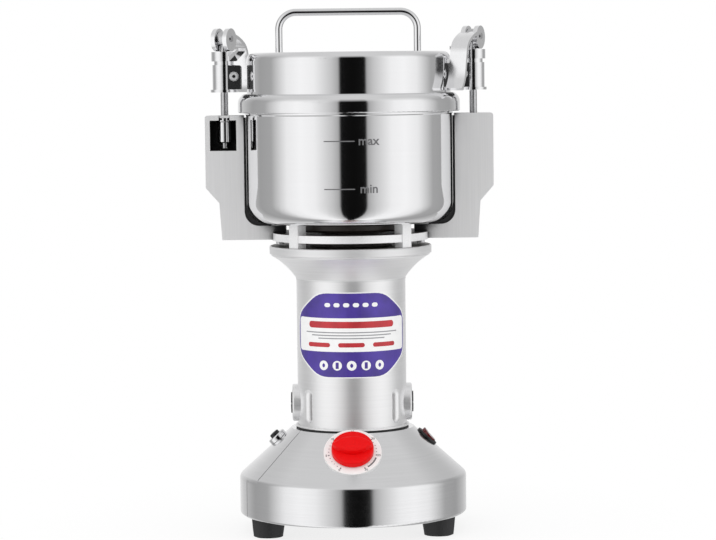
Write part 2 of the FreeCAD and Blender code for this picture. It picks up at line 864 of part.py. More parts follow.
def bearing_bracket():
    """Pressed spider that carries the lower bearing inside the tube."""
    part = body("bearing_bracket")
    low = d.lower_bearing
    shelf = low + d.bearing_tall - 1
    rim = d.column_radius - d.column_wall - 0.05
    seat_radius = d.bearing_radius
    revolve(part, [
        (seat_radius, low), (seat_radius + 2, low), (seat_radius + 2, shelf), (rim, shelf), (rim, shelf + 2),
        (8, shelf + 2), (8, shelf + 1), (seat_radius, shelf + 1),
    ])


def cooling_fan():
    """Flat hub with twelve blades above the armature."""
    part = body("cooling_fan")
    low = d.core_high + 17
    hub = sketch(part, "XY_Plane", low)
    circle(hub, 0, 0, d.fan_radius)
    circle(hub, 0, 0, d.shaft_radius)
    pad(part, hub, 2)
    blade = sketch(part, "XY_Plane", low + 1.5)
    outline(blade, box_points(12, -0.8, d.fan_radius - 1, 0.8))
    first = pad(part, blade, 9)
    repeat(part, first, 12)


# Bowl support, bowl and blades

def support_cage():
    """Ring on four posts between the column flange and the bowl."""
    part = body("support_cage")
    made = sketch(part, "XY_Plane", d.ring_low)
    circle(made, 0, 0, d.ring_radius)
    circle(made, 0, 0, d.ring_radius - 14)
    pad(part, made, d.ring_high - d.ring_low)
    post = sketch(part, "XY_Plane", d.flange_high)
    half = d.post_wide / 2
    turn = 45
    outline(post, box_points(d.post_radius - 6, -half, d.post_radius + 3.2, half))
    post.AttachmentOffset = FreeCAD.Placement(
        post.AttachmentOffset.Base, FreeCAD.Rotation(FreeCAD.Vector(0, 0, 1), turn))
    first = pad(part, post, d.bowl_low - d.flange_high)
    repeat(part, first, 4)
    screws = sketch(part, "XY_Plane", d.ring_high)
    for side in (-1, 1):
        for y in SCREW_SIDES:
            circle(screws, d.bracket_screw * side, y, d.screw_radius)
    pocket(part, screws, d.ring_high - d.ring_low)


def bearing_housing():
    """Hub under the bowl that holds the upper bearing's cover and the bowl's centre."""
    part = body("bearing_housing")
    revolve(part, [
        (5.2, d.flange_high - 3.9), (15.9, d.flange_high - 3.9), (15.9, d.flange_high),
        (34, d.flange_high), (34, d.flange_high + 4), (24, d.flange_high + 4), (24, d.bowl_low),
        (5.2, d.bowl_low),
    ])


def bowl():
    """Drawn steel bowl with a flared collar that takes the lid."""
    part = body("bowl")
    wall = d.bowl_wall
    inner = d.bowl_radius - wall
    corner = d.bowl_round
    ledge = d.lid_low - 0.1
    revolve(part, [
        (6.2, d.bowl_low), (d.bowl_radius - corner, d.bowl_low),
        (d.bowl_radius, d.bowl_low + corner, corner),
        (d.bowl_radius, d.collar_low - 2.4),
        (d.bowl_radius + 0.8, d.collar_low - 1.6),
        (d.bowl_radius + 0.8, d.collar_low),
        (d.collar_radius - 0.8, d.collar_low),
        (d.collar_radius, d.collar_low + 0.8, 0.8),
        (d.collar_radius, d.collar_high - 6),
        (d.lid_radius + 2.6, d.collar_high + 1.2, 8.5),
        (d.lid_radius + 0.5, d.collar_high + 1.2),
        (d.lid_radius + 0.5, ledge),
        (inner - 1.5, ledge),
        (inner - 1.5, ledge - 1.5),
        (inner, ledge - 3),
        (inner, d.bowl_low + corner),
        (d.bowl_radius - corner, d.bowl_low + wall, -(corner - wall)),
        (6.2, d.bowl_low + wall),
    ])


def shaft_seal():
    part = body("shaft_seal")
    revolve(part, [
        (d.shaft_radius + 0.1, d.bowl_low + 0.2), (6.2, d.bowl_low + 0.2), (6.2, d.bowl_low + 1.5),
        (11, d.bowl_low + 1.5), (11, d.bowl_low + 3.5), (7, d.bowl_low + 6), (d.shaft_radius + 0.1, d.bowl_low + 6),
    ])


def blade(label, low, reach, lift, turn):
    """A two-armed blade: flat hub, swept arms with a ground edge and turned-up ends."""
    part = body(label)
    made = sketch(part, "XY_Plane", low, turn)
    outline(made, [
        (reach, -2), (reach - 4, 5), (14, 9.5), (-6, 9.5), (-reach, 2),
        (-reach + 4, -5), (-14, -9.5), (6, -9.5),
    ])
    circle(made, 0, 0, d.shaft_radius)
    plate = pad(part, made, 2)
    tips = sketch(part, "XY_Plane", low, turn)
    outline(tips, box_points(reach - 12, -1, reach - 2, 1))
    first = pad(part, tips, lift)
    repeat(part, first, 2)


def blade_spacer():
    part = body("blade_spacer")
    made = sketch(part, "XY_Plane", d.blade_low + 2)
    circle(made, 0, 0, 8.5)
    circle(made, 0, 0, d.shaft_radius)
    pad(part, made, 11)


def blade_nut():
    nut = prism("blade_nut", 6, 6.5, 6, (0, 0, d.blade_low + 15))
    bore = cylinder("blade_nut_bore", d.shaft_radius, 12, (0, 0, d.blade_low + 12))
    keep(cut("blade_nut_cut", nut, bore), "blade_nut")


def prism(name, sides, radius, height, place):
    made = doc.addObject("Part::Prism", name)
    made.Polygon = sides
    made.Circumradius = radius
    made.Height = height
    seat(made, place)
    return made


# Lid

def lid_shell():
    """Deep-drawn lid drum with a rounded shoulder."""
    part = body("lid_shell")
    wall = d.lid_wall
    turn = d.lid_round
    revolve(part, [
        (d.lid_radius - wall, d.lid_low), (d.lid_radius, d.lid_low),
        (d.lid_radius, d.lid_high - turn),
        (d.lid_radius - turn, d.lid_high, turn),
        (0, d.lid_high), (0, d.lid_high - wall),
        (d.lid_radius - turn, d.lid_high - wall),
        (d.lid_radius - wall, d.lid_high - turn, -(turn - wall)),
    ])


def lid_inner():
    """Inner pan that closes the lid's underside."""
    part = body("lid_inner")
    out = d.lid_radius - d.lid_wall - 0.02
    revolve(part, [
        (0, d.lid_low + 6), (out - 8, d.lid_low + 6), (out - 6, d.lid_low + 1.0), (out, d.lid_low + 1.0),
        (out, d.lid_low + 10), (out - 1, d.lid_low + 10), (out - 1, d.lid_low + 2.0),
        (out - 5.4, d.lid_low + 2.0), (out - 7.4, d.lid_low + 7), (0, d.lid_low + 7),
    ])


def lid_seal():
    """Soft ring in the lid's mouth that meets the bowl's ledge."""
    part = body("lid_seal")
    out = d.bowl_radius - d.bowl_wall - 1.8
    revolve(part, [
        (out - 5, d.lid_low - 1.6), (out - 2, d.lid_low - 2.6), (out, d.lid_low - 1.6),
        (out, d.lid_low + 1.0), (out - 5, d.lid_low + 1.0),
    ])


def lid_handle():
    """Round rod bent into a wide U and welded to the lid."""
    rod = number(d.handle_rod)
    span = number(d.handle_span)
    high = number(d.handle_high)
    bend = number(d.handle_bend)
    low = number(d.lid_high)
    half = bend * math.sqrt(0.5)
    corner = FreeCAD.Vector(-span + bend, 0, high - bend)
    other = FreeCAD.Vector(span - bend, 0, high - bend)
    lean = FreeCAD.Vector(-half, 0, half)
    slant = FreeCAD.Vector(half, 0, half)
    left_low = FreeCAD.Vector(-span, 0, low)
    left_high = FreeCAD.Vector(-span, 0, high - bend)
    top_left = FreeCAD.Vector(-span + bend, 0, high)
    top_right = FreeCAD.Vector(span - bend, 0, high)
    right_high = FreeCAD.Vector(span, 0, high - bend)
    right_low = FreeCAD.Vector(span, 0, low)
    path = Part.Wire([
        Part.LineSegment(left_low, left_high).toShape(),
        Part.Arc(left_high, corner + lean, top_left).toShape(),
        Part.LineSegment(top_left, top_right).toShape(),
        Part.Arc(top_right, other + slant, right_high).toShape(),
        Part.LineSegment(right_high, right_low).toShape(),
    ])
    section = Part.Wire([Part.Circle(left_low, FreeCAD.Vector(0, 0, 1), rod).toShape()])
    made = doc.addObject("Part::Feature", "lid_handle")
    made.Shape = path.makePipeShell([section], True, False)
    keep(made, "lid_handle")


# Side brackets and clamps. Each is made on the right and turned half a circle for the left.

def mirrored(label, build):
    """Make the piece for the right side, and the same turned by half a circle for the left."""
    for side, turn in (("right", 0), ("left", 180)):
        build(f"{label}_{side}", turn)


def half_turn(made, turn):
    """Turn a finished object about the motor axis, on top of its own placement."""
    spin = FreeCAD.Placement(FreeCAD.Vector(0, 0, 0), FreeCAD.Rotation(FreeCAD.Vector(0, 0, 1), turn))
    made.Placement = spin.multiply(made.Placement)


def bracket(label, turn):
    """Hollow arm from under the bowl up its side, with a window for the clamp's nut on one face."""
    part = body(label)
    deep = d.bracket_deep
    wall = d.bracket_wall
    inner = d.bracket_inner
    outer = d.bracket_outer
    low = d.bracket_low
    foot = d.bracket_foot
    made = sketch(part, "XZ_Plane")
    outline(made, [
        (foot, low), (outer - 13, low), (outer - 11, d.bracket_waist), (outer, d.bracket_kink),
        (outer, d.bracket_high - 2), (outer - 2, d.bracket_high, 2), (inner, d.bracket_high),
        (inner, low + d.foot_thick + 12), (inner - 12, low + d.foot_thick, -12), (foot, low + d.foot_thick),
    ])
    solid = pad(part, made, deep, both=True)
    room = sketch(part, "XZ_Plane", 0)
    outline(room, [
        (inner + wall, d.bracket_waist), (outer - 11 - wall, d.bracket_waist + 0.6),
        (outer - wall, d.bracket_kink + 1), (outer - wall, d.bracket_high - wall),
        (inner + wall, d.bracket_high - wall),
    ])
    pocket(part, room, deep - 2 * wall, both=True)
    window = sketch(part, "XZ_Plane", -deep / 2 - 1)
    outline(window, [
        (inner + wall + 4, d.window_low), (outer - wall - 2, d.window_low), (outer - wall - 2, d.window_high),
        (d.post_place + 4.5, d.window_high), (d.post_place + 4.5, d.bracket_high + 1),
        (d.post_place - 4.5, d.bracket_high + 1), (d.post_place - 4.5, d.window_high),
        (inner + wall + 4, d.window_high),
    ])
    pocket(part, window, wall + 1, back=True)
    bore = sketch(part, "XY_Plane", d.bracket_high - wall - 1)
    circle(bore, d.post_place, 0, d.rod_radius + 0.05)
    pocket(part, bore, wall + 3, back=True)
    ring = sketch(part, "XZ_Plane")
    outline(ring, [
        (0, d.ring_low - 0.05), (d.ring_radius + 0.05, d.ring_low - 0.05), (d.ring_radius + 0.05, d.ring_high + 0.05),
        (0, d.ring_high + 0.05),
    ])
    feature(part, "Groove", ring, ReferenceAxis=(ring, ["V_Axis"]), Angle=360.0)
    screws = sketch(part, "XY_Plane", d.ring_high)
    for y in SCREW_SIDES:
        circle(screws, d.bracket_screw, y, d.screw_radius)
    pocket(part, screws, 4.0, back=True)
    half_turn(part, turn)


def bowl_pad(label, turn):
    """Rubber liner on the bracket's inner wall and foot, which follows the bowl's corner."""
    part = body(label)
    gap = d.bowl_radius + 0.5
    shelf = d.bracket_low + d.foot_thick
    floor = d.bowl_low - 0.5
    corner = d.bowl_round
    made = sketch(part, "XZ_Plane")
    outline(made, [
        (d.bowl_radius - 20, shelf), (d.bracket_inner - 12, shelf), (d.bracket_inner, shelf + 12, 12),
        (d.bracket_inner, d.collar_low - 4), (gap, d.collar_low - 4), (gap, floor + corner),
        (d.bowl_radius - corner, floor, -(corner + 0.5)), (d.bowl_radius - 20, floor),
    ])
    pad(part, made, d.bracket_deep - 4, both=True)
    half_turn(part, turn)


def post_piece(made, turn, head=0.0):
    """Put a piece built about its own Z axis on the clamp post, turned about it by head."""
    twist = FreeCAD.Rotation(FreeCAD.Vector(0, 0, 1), head)
    spot = FreeCAD.Placement(FreeCAD.Vector(SIZES["post_place"], 0, 0), twist)
    made.Placement = spot.multiply(made.Placement)
    half_turn(made, turn)


def clamp_rod(label, turn):
    """Threaded rod with a flat eye for the lever's pin."""
    stem = cylinder(label + "_stem", d.rod_radius, d.pin_high - d.rod_low - 4, (0, 0, d.rod_low))
    eye = cylinder(label + "_eye", 6.0, 2 * d.eye_half, (-d.eye_half, 0, d.pin_high), (1, 0, 0))
    hole = cylinder(label + "_hole", 2.55, 12, (-6, 0, d.pin_high), (1, 0, 0))
    made = cut(label, fused(label + "_solid", [stem, eye]), hole)
    post_piece(made, turn, -SIZES["head_turn"])
    keep(made, label)


def adjusting_nut(label, turn):
    """Round nut that bears up against the bracket's top."""
    part = body(label)
    top = d.bracket_high - d.bracket_wall - 0.1
    revolve(part, [
        (d.rod_radius, d.window_low + 6.5), (5.4, d.window_low + 6.5), (6.2, d.window_low + 7.3),
        (6.2, top - 3.4), (6.9, top - 2.8), (6.9, top), (d.rod_radius, top),
    ])
    post_piece(part, turn)


def clamp_barrel(label, turn):
    """Sprung barrel with an end plate at the bottom and a collar ring on top."""
    part = body(label)
    free = d.rod_radius + 0.3
    revolve(part, [
        (free, d.barrel_low), (11.2, d.barrel_low), (11.2, d.barrel_low + 2.2),
        (d.barrel_radius, d.barrel_low + 2.2), (d.barrel_radius, d.barrel_high - 3),
        (d.barrel_radius - 1.4, d.barrel_high - 3), (d.barrel_radius - 1.4, d.barrel_high),
        (free, d.barrel_high),
    ])
    post_piece(part, turn)


def clamp_claw(label, turn):
    """Top collar with the finger that reaches the lid's shoulder."""
    part = body(label)
    low = d.barrel_high
    top = d.pin_high - d.ear_radius - d.cam_throw - d.press_gap
    made = sketch(part, "XY_Plane", low)
    circle(made, 0, 0, d.barrel_radius + 0.8)
    circle(made, 0, 0, d.rod_radius + 0.3)
    pad(part, made, top - low)
    side = sketch(part, "XZ_Plane")
    outline(side, [
        (6.5, low), (11, low), (d.claw_reach, low + 8.0), (d.claw_reach, low + 10.6),
        (11, low + 4.0), (6.5, low + 4.0),
    ])
    pad(part, side, d.claw_wide, both=True)
    post_piece(part, turn, 180 - SIZES["claw_turn"])


def press_block(label, turn):
    """Moulded block between the barrel and the bowl's collar, bolted across."""
    part = body(label)
    low = d.barrel_low + 2.4
    made = sketch(part, "XZ_Plane")
    outline(made, [
        (-d.block_face, low), (-4, low), (-4, d.barrel_high - 3.4), (-d.block_face + 2, d.barrel_high - 3.4),
        (-d.block_face, d.barrel_high - 5.4, 2.0),
    ])
    pad(part, made, d.block_wide, both=True)
    room = sketch(part, "XY_Plane", low - 1)
    circle(room, 0, 0, d.barrel_radius + 0.02)
    pocket(part, room, 40, back=True)
    for side in (-1, 1):
        bolt = sketch(part, "XZ_Plane", d.block_wide / 2 * side)
        circle(bolt, -d.bolt_place, d.barrel_low + 13, d.block_bolt)
        pocket(part, bolt, 3.4, back=side < 0)
    post_piece(part, turn)


def block_screws(label, turn):
    """A pan-head screw on each side holds the block to the barrel's strap."""
    screws = []
    for side in (-1, 1):
        face = d.block_wide / 2 * side
        high = d.barrel_low + 13
        stem = cylinder(f"{label}_stem_{side + 1}", d.block_bolt, 2.8,
                        (-d.bolt_place, face - 2.8 * side, high), (0, side, 0))
        head = doc.addObject("Part::Cone", f"{label}_head_{side + 1}")
        bind(head, "Radius1", d.bolt_head)
        bind(head, "Radius2", d.bolt_head - 0.9)
        head.Height = 2.2
        seat(head, (-d.bolt_place, face, high), (0, side, 0))
        screws.append(fused(f"{label}_screw_{side + 1}", [stem, head]))
    made = group(label, screws)
    post_piece(made, turn)
    keep(made, label)


def lever_pin(label, turn):
    reach = d.lever_half + 0.7
    pin = cylinder(label, 2.5, 2 * reach, (-number(reach), 0, d.pin_high), (1, 0, 0))
    post_piece(pin, turn, -SIZES["head_turn"])
    keep(pin, label)


def bent_strip(spot, heading, thick, bends):
    """Outline of a plate of even thickness. It starts at spot and runs towards -x, heading degrees downwards.
    A bend is ("run", length) or (radius, degrees), which turns it further down, or back up if negative."""
    x, y = spot
    outer = []
    inner = []

    def mark(radius_out=None, radius_in=None):
        lean = math.radians(heading)
        low = (x + thick * math.sin(lean), y - thick * math.cos(lean))
        outer.append((x, y) if radius_out is None else (x, y, radius_out))
        inner.append((low, radius_in))

    mark()
    for size, turn in bends:
        if size == "run":
            lean = math.radians(heading)
            x, y = x - turn * math.cos(lean), y - turn * math.sin(lean)
            mark()
            continue
        sign = 1 if turn > 0 else -1
        middle = math.radians(heading + turn / 2)
        chord = 2 * size * math.sin(math.radians(abs(turn)) / 2)
        x, y = x - chord * math.cos(middle), y - chord * math.sin(middle)
        heading += turn
        mark(size * sign, -sign * (size - thick * sign))
    back = [inner[-1][0]]
    for i in range(len(inner) - 1, 0, -1):
        place = inner[i - 1][0]
        radius = inner[i][1]
        back.append(place if radius is None else (*place, radius))
    return outer + back


def clamp_lever(label, turn):
    """Two cam ears on the pin and a curved plate that drops beside the lid and turns out at its tip."""
    part = body(label)
    half = d.lever_half
    ears = sketch(part, "YZ_Plane", d.ear_gap)
    circle(ears, 0, d.pin_high - d.cam_throw, d.ear_radius)
    pad(part, ears, half - d.ear_gap)
    ears = sketch(part, "YZ_Plane", -d.ear_gap)
    circle(ears, 0, d.pin_high - d.cam_throw, d.ear_radius)
    pad(part, ears, half - d.ear_gap, back=True)
    arm = sketch(part, "YZ_Plane")
    start = (-8.0, SIZES["pin_high"] + 3.5)
    outline(arm, bent_strip(start, 12.0, SIZES["lever_thick"],
                            [(55.0, 18.0), (16.0, 48.0), ("run", 16.0), (24.0, -28.0), ("run", 4.0)]))
    pad(part, arm, 2 * half, both=True)
    holes = sketch(part, "YZ_Plane")
    circle(holes, 0, d.pin_high, 2.55)
    pocket(part, holes, 40, both=True)
    post_piece(part, turn, -SIZES["head_turn"])


def bracket_screws():
    """Two cap screws hold each bracket's foot down on the support ring."""
    screws = []
    for side in (-1, 1):
        for y in SCREW_SIDES:
            tag = f"{side + 1}_{y + 5:.0f}"
            place = (d.bracket_screw * side, y, d.ring_low - 3)
            head = cylinder("bracket_head_" + tag, 3.4, 3.0, place)
            stem = cylinder("bracket_stem_" + tag, d.screw_radius, d.ring_high - d.ring_low + 6, place)
            screws.append(fused("bracket_screw_" + tag, [head, stem]))
    keep(group("bracket_screws", screws), "bracket_screws")


base_shell()
base_plate()
rubber_feet()
foot_screws()
cord_gland()
dial_plate()
timer_knob()
timer_spindle()
timer_body()
switch_housing()
switch_rocker()
reset_collar()
reset_button()
column_gasket()
column_tube()
brush_caps()
brush_tubes()
carbon_brushes()
column_flange()
stator_core()
stator_windings()
armature()
commutator()
motor_shaft()
bearing("bearing_lower", d.lower_bearing)
bearing("bearing_upper", d.upper_bearing)
bearing_bracket()
cooling_fan()
support_cage()
bearing_housing()
bowl()
shaft_seal()
blade("blade_lower", d.blade_low, d.blade_reach, 9, 20)
blade("blade_upper", d.blade_low + 13, d.blade_reach - 14, 14, 110)
blade_spacer()
blade_nut()
lid_shell()
lid_inner()
lid_seal()
lid_handle()
mirrored("bracket", bracket)
mirrored("bowl_pad", bowl_pad)
mirrored("clamp_rod", clamp_rod)
mirrored("adjusting_nut", adjusting_nut)
mirrored("clamp_barrel", clamp_barrel)
mirrored("clamp_claw", clamp_claw)
mirrored("press_block", press_block)
mirrored("block_screws", block_screws)
mirrored("lever_pin", lever_pin)
mirrored("clamp_lever", clamp_lever)
bracket_screws()

doc.recompute()
failed = [obj.Label for obj in doc.Objects if "Invalid" in obj.State or "Error" in obj.State]
for label, obj in nodes.items():
    if obj.Shape.isNull() or not obj.Shape.isValid() or obj.Shape.Volume <= 0:
        failed.append(label)
if failed:
    raise RuntimeError("these did not build: " + ", ".join(failed))

os.makedirs("parts", exist_ok=True)
for label, obj in nodes.items():
    obj.Shape.exportStep(f"parts/{label}.step")
print(len(nodes), "sub-parts written")
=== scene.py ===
# %% [markdown]
# This notebook dresses an electric grain mill. The solid parts come from the CAD model and keep their
# shape and place. Here they get their finishes, a printed label, the dial's scale, the level marks on the
# bowl and the threads on the clamp rods, and then a light tent, a floor and a camera.
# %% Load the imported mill
import math
import bmesh
import bpy
from mathutils import Matrix, Quaternion, Vector


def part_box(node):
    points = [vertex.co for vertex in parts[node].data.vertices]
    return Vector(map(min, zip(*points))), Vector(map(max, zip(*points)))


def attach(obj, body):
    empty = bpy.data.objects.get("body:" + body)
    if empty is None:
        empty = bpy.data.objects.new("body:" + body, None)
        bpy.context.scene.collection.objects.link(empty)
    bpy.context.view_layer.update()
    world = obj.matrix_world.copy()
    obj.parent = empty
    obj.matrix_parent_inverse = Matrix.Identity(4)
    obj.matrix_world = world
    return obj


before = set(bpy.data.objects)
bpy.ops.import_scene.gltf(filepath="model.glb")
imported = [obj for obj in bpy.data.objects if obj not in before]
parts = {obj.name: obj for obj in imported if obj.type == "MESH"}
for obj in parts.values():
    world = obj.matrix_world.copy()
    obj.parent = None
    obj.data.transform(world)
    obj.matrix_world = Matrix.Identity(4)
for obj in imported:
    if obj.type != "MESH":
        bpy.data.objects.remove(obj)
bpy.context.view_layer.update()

# %% [markdown]
# No real surface has one flat colour. A photographed texture could show that, but it has to be stretched
# over each part. Noise in the part's own coordinates needs no such map, so one helper builds every finish
# from it: stretched along the grain, it moves the roughness, lightens and darkens the colour a little, and
# raises a fine bump. What differs from finish to finish is an argument.
# %% A finish with grain
MM = 0.001
COAT_ROUGH = 0.12


def shade(colour, factor):
    """A colour made lighter or darker, with the opaque alpha that a colour ramp wants."""
    return tuple(min(1.0, c * factor) for c in colour) + (1.0,)


def grain_finish(name, colour, metallic, rough, grain=(400, 400, 400), swing=0.05, tint=0.06,
                 bump=0.1, depth=0.05 * MM, coat=0.0):
    made = bpy.data.materials.new(name)
    made.use_nodes = True
    nodes = made.node_tree.nodes
    links = made.node_tree.links
    shader = nodes["Principled BSDF"]
    shader.inputs["Metallic"].default_value = metallic
    shader.inputs["Coat Weight"].default_value = coat
    shader.inputs["Coat Roughness"].default_value = COAT_ROUGH
    place = nodes.new("ShaderNodeTexCoord")
    stretch = nodes.new("ShaderNodeMapping")
    stretch.inputs["Scale"].default_value = grain
    noise = nodes.new("ShaderNodeTexNoise")
    noise.inputs["Scale"].default_value = 1.0
    noise.inputs["Detail"].default_value = 4.0
    links.new(place.outputs["Object"], stretch.inputs["Vector"])
    links.new(stretch.outputs["Vector"], noise.inputs["Vector"])
    spread = nodes.new("ShaderNodeMapRange")
    spread.inputs["To Min"].default_value = max(0.02, rough - swing)
    spread.inputs["To Max"].default_value = rough + swing
    links.new(noise.outputs["Fac"], spread.inputs["Value"])
    links.new(spread.outputs["Result"], shader.inputs["Roughness"])
    tones = nodes.new("ShaderNodeValToRGB")
    tones.color_ramp.elements[0].color = shade(colour, 1 - tint)
    tones.color_ramp.elements[1].color = shade(colour, 1 + tint)
    tones.color_ramp.elements[0].position = 0.3
    tones.color_ramp.elements[1].position = 0.7
    links.new(noise.outputs["Fac"], tones.inputs["Fac"])
    links.new(tones.outputs["Color"], shader.inputs["Base Color"])
    relief = nodes.new("ShaderNodeBump")
    relief.inputs["Strength"].default_value = bump
    relief.inputs["Distance"].default_value = depth
    links.new(noise.outputs["Fac"], relief.inputs["Height"])
    links.new(relief.outputs["Normal"], shader.inputs["Normal"])
    return made


print("a middle grey made a tenth lighter:", shade((0.5, 0.5, 0.5), 1.1))

# %% [markdown]
# A CAD part comes with a plain finish. Its mesh stays as it is and only the material on it changes, so the
# helper empties the part's material slots and puts the new finish in. It also keeps a list, so that a part
# that was forgotten shows up at the end.
# %% Put a finish on CAD parts
dressed = set()


def dress(finish, *names):
    """Give a finish to the named CAD parts, in place of the plain one they came with."""
    for name in names:
        mesh = parts[name].data
        mesh.materials.clear()
        mesh.materials.append(finish)
        dressed.add(name)
    print(finish.name, "on", ", ".join(names))


print(len(parts) - len(dressed), "parts to dress")

# %% [markdown]
# The bowl and the lid are drawn stainless steel, polished to a mirror. Rings or scratches could be painted
# on, but what makes a mirror look like steel is what it reflects. So the finish itself stays simple: nearly
# no roughness, with very faint rings from the polishing wheel, which are noise squeezed hard along Z.
# %% Mirror polished steel
mirror_steel = grain_finish("mirror_steel", (0.90, 0.90, 0.91), 1.0, 0.075, (8, 8, 700), 0.012, 0.006,
                            0.012, 0.006 * MM)
dress(mirror_steel, "bowl", "lid_shell")
rod_polish = grain_finish("rod_polish", (0.90, 0.90, 0.91), 1.0, 0.09, (300, 300, 300), 0.03, 0.02,
                          0.03, 0.01 * MM)
dress(rod_polish, "lid_handle")

# %% [markdown]
# The base is bright sheet brushed round, so its reflections are softer than the bowl's but still readable.
# The motor tube, the flange and the cage look like pale satin castings. A full metal would mirror the dark
# camera side in a broad band, which the photo shows only faintly, so each is mixed: part metal, part matt.
# %% Brushed and satin metal
brushed_base = grain_finish("brushed_base", (0.88, 0.88, 0.89), 1.0, 0.13, (10, 10, 1300), 0.03, 0.02,
                            0.05, 0.012 * MM)
dress(brushed_base, "base_shell")
satin_alloy = grain_finish("satin_alloy", (0.90, 0.90, 0.905), 0.74, 0.33, (14, 14, 1100), 0.05, 0.02,
                           0.06, 0.02 * MM)
dress(satin_alloy, "column_tube")
turned_alloy = grain_finish("turned_alloy", (0.80, 0.80, 0.805), 0.55, 0.38, (14, 14, 1100), 0.05, 0.03,
                            0.08, 0.02 * MM)
dress(turned_alloy, "column_flange")
cast_alloy = grain_finish("cast_alloy", (0.93, 0.93, 0.935), 0.30, 0.36, (900, 900, 900), 0.08, 0.05,
                          0.2, 0.04 * MM)
dress(cast_alloy, "support_cage")

# %% [markdown]
# The brackets are folded sheet with a light upright grain, pale outside, with painted shade nearly black
# inside, where the nut of the clamp shows in its window. Two materials could split each bracket, but it is
# one CAD part. An ambient occlusion node tells how open each spot is, and the finish is painted dark as shade
# where little light gets in.
# %% Folded sheet with painted shade inside
HOLLOW_REACH = 25 * MM
HOLLOW_SHUT = 0.42
HOLLOW_OPEN = 0.72
# The black of the painted shade in the hollows.
PAINTED_SHADE_BLACK = (0.010, 0.010, 0.011, 1)


def darken_hollows(finish):
    """Paint shade into a finish: nearly black where little light gets in, such as inside a folded channel."""
    nodes = finish.node_tree.nodes
    links = finish.node_tree.links
    base = nodes["Principled BSDF"].inputs["Base Color"]
    tones = base.links[0].from_socket
    openness = nodes.new("ShaderNodeAmbientOcclusion")
    openness.inputs["Distance"].default_value = HOLLOW_REACH
    curve = nodes.new("ShaderNodeMapRange")
    curve.interpolation_type = "SMOOTHSTEP"
    curve.inputs["From Min"].default_value = HOLLOW_SHUT
    curve.inputs["From Max"].default_value = HOLLOW_OPEN
    links.new(openness.outputs["AO"], curve.inputs["Value"])
    mixed = nodes.new("ShaderNodeMix")
    mixed.data_type = "RGBA"
    mixed.inputs["A"].default_value = PAINTED_SHADE_BLACK
    links.new(curve.outputs["Result"], mixed.inputs["Factor"])
    links.new(tones, mixed.inputs["B"])
    links.new(mixed.outputs["Result"], base)


bracket_sheet_and_shade = grain_finish("bracket_sheet_and_shade", (0.80, 0.80, 0.805), 0.32, 0.36, (1200, 1200, 20), 0.05, 0.025,
                             0.08, 0.02 * MM)
dress(bracket_sheet_and_shade, "bracket_left", "bracket_right")
# Painted shade: the brackets' sheet goes nearly black in its hollows.
darken_hollows(bracket_sheet_and_shade)
plain_sheet = grain_finish("plain_sheet", (0.72, 0.72, 0.73), 1.0, 0.36, (60, 1200, 60), 0.06, 0.06)
dress(plain_sheet, "base_plate", "bearing_bracket", "lid_inner")

# %% [markdown]
# The clamps look chrome plated: barrels, top collars, cam levers and nuts. Plating over a bent lever is a
# little wavy. That could be sculpted into the lever, but a low, wide noise in the bump gives it without
# touching the CAD mesh. The rods and screws are bare steel, greyer and rougher.
# %% Chrome and bare steel
SIDES = ("left", "right")


def both(*names):
    """The left and the right part of each name."""
    return [f"{name}_{side}" for name in names for side in SIDES]


lever_chrome = grain_finish("lever_chrome", (0.95, 0.95, 0.96), 1.0, 0.16, (140, 140, 140), 0.05, 0.02,
                            0.25, 0.15 * MM)
dress(lever_chrome, *both("clamp_lever"))
clamp_chrome = grain_finish("clamp_chrome", (0.90, 0.90, 0.91), 1.0, 0.10, (30, 30, 700), 0.03, 0.02,
                            0.05, 0.02 * MM)
dress(clamp_chrome, *both("clamp_barrel", "clamp_claw", "adjusting_nut"), "reset_collar")
rod_steel = grain_finish("rod_steel", (0.62, 0.62, 0.63), 1.0, 0.24, (300, 300, 900), 0.06, 0.08)
dress(rod_steel, *both("clamp_rod", "lever_pin"), "motor_shaft", "timer_spindle")
screw_steel = grain_finish("screw_steel", (0.86, 0.86, 0.87), 0.55, 0.32, (500, 500, 500), 0.06, 0.04)
dress(screw_steel, "foot_screws", "bracket_screws", *both("block_screws"), "bearing_lower", "bearing_upper")

# %% [markdown]
# Rubber and plastic need two kinds of black. One black for both would make the feet look moulded in the
# same stuff as the clamp blocks. Rubber scatters light and has a powdery, pitted skin, so it is rough with
# a strong fine bump. Moulded plastic is smoother, with a faint sheen on its edges.
# %% Rubber and black plastic
rubber = grain_finish("rubber", (0.016, 0.016, 0.017), 0.0, 0.62, (1400, 1400, 1400), 0.10, 0.25,
                      0.5, 0.06 * MM)
dress(rubber, "rubber_feet", "column_gasket", "cord_gland", *both("bowl_pad"))
black_moulding = grain_finish("black_moulding", (0.014, 0.014, 0.015), 0.0, 0.38, (900, 900, 900), 0.08, 0.2,
                              0.25, 0.04 * MM)
dress(black_moulding, *both("press_block"), "switch_housing", "reset_button", "brush_caps", "cooling_fan")

# %% [markdown]
# The timer knob is a deep, even red. A shiny plastic under a white tent turns pink, so this one reflects
# less than usual. The knob is also hidden from reflections, because the bowl above it would else show a red
# smear. The dial plate is white enamel, and the rocker is dark red and glossy.
# %% Knob, rocker and dial
KNOB_SHEEN = 0.14

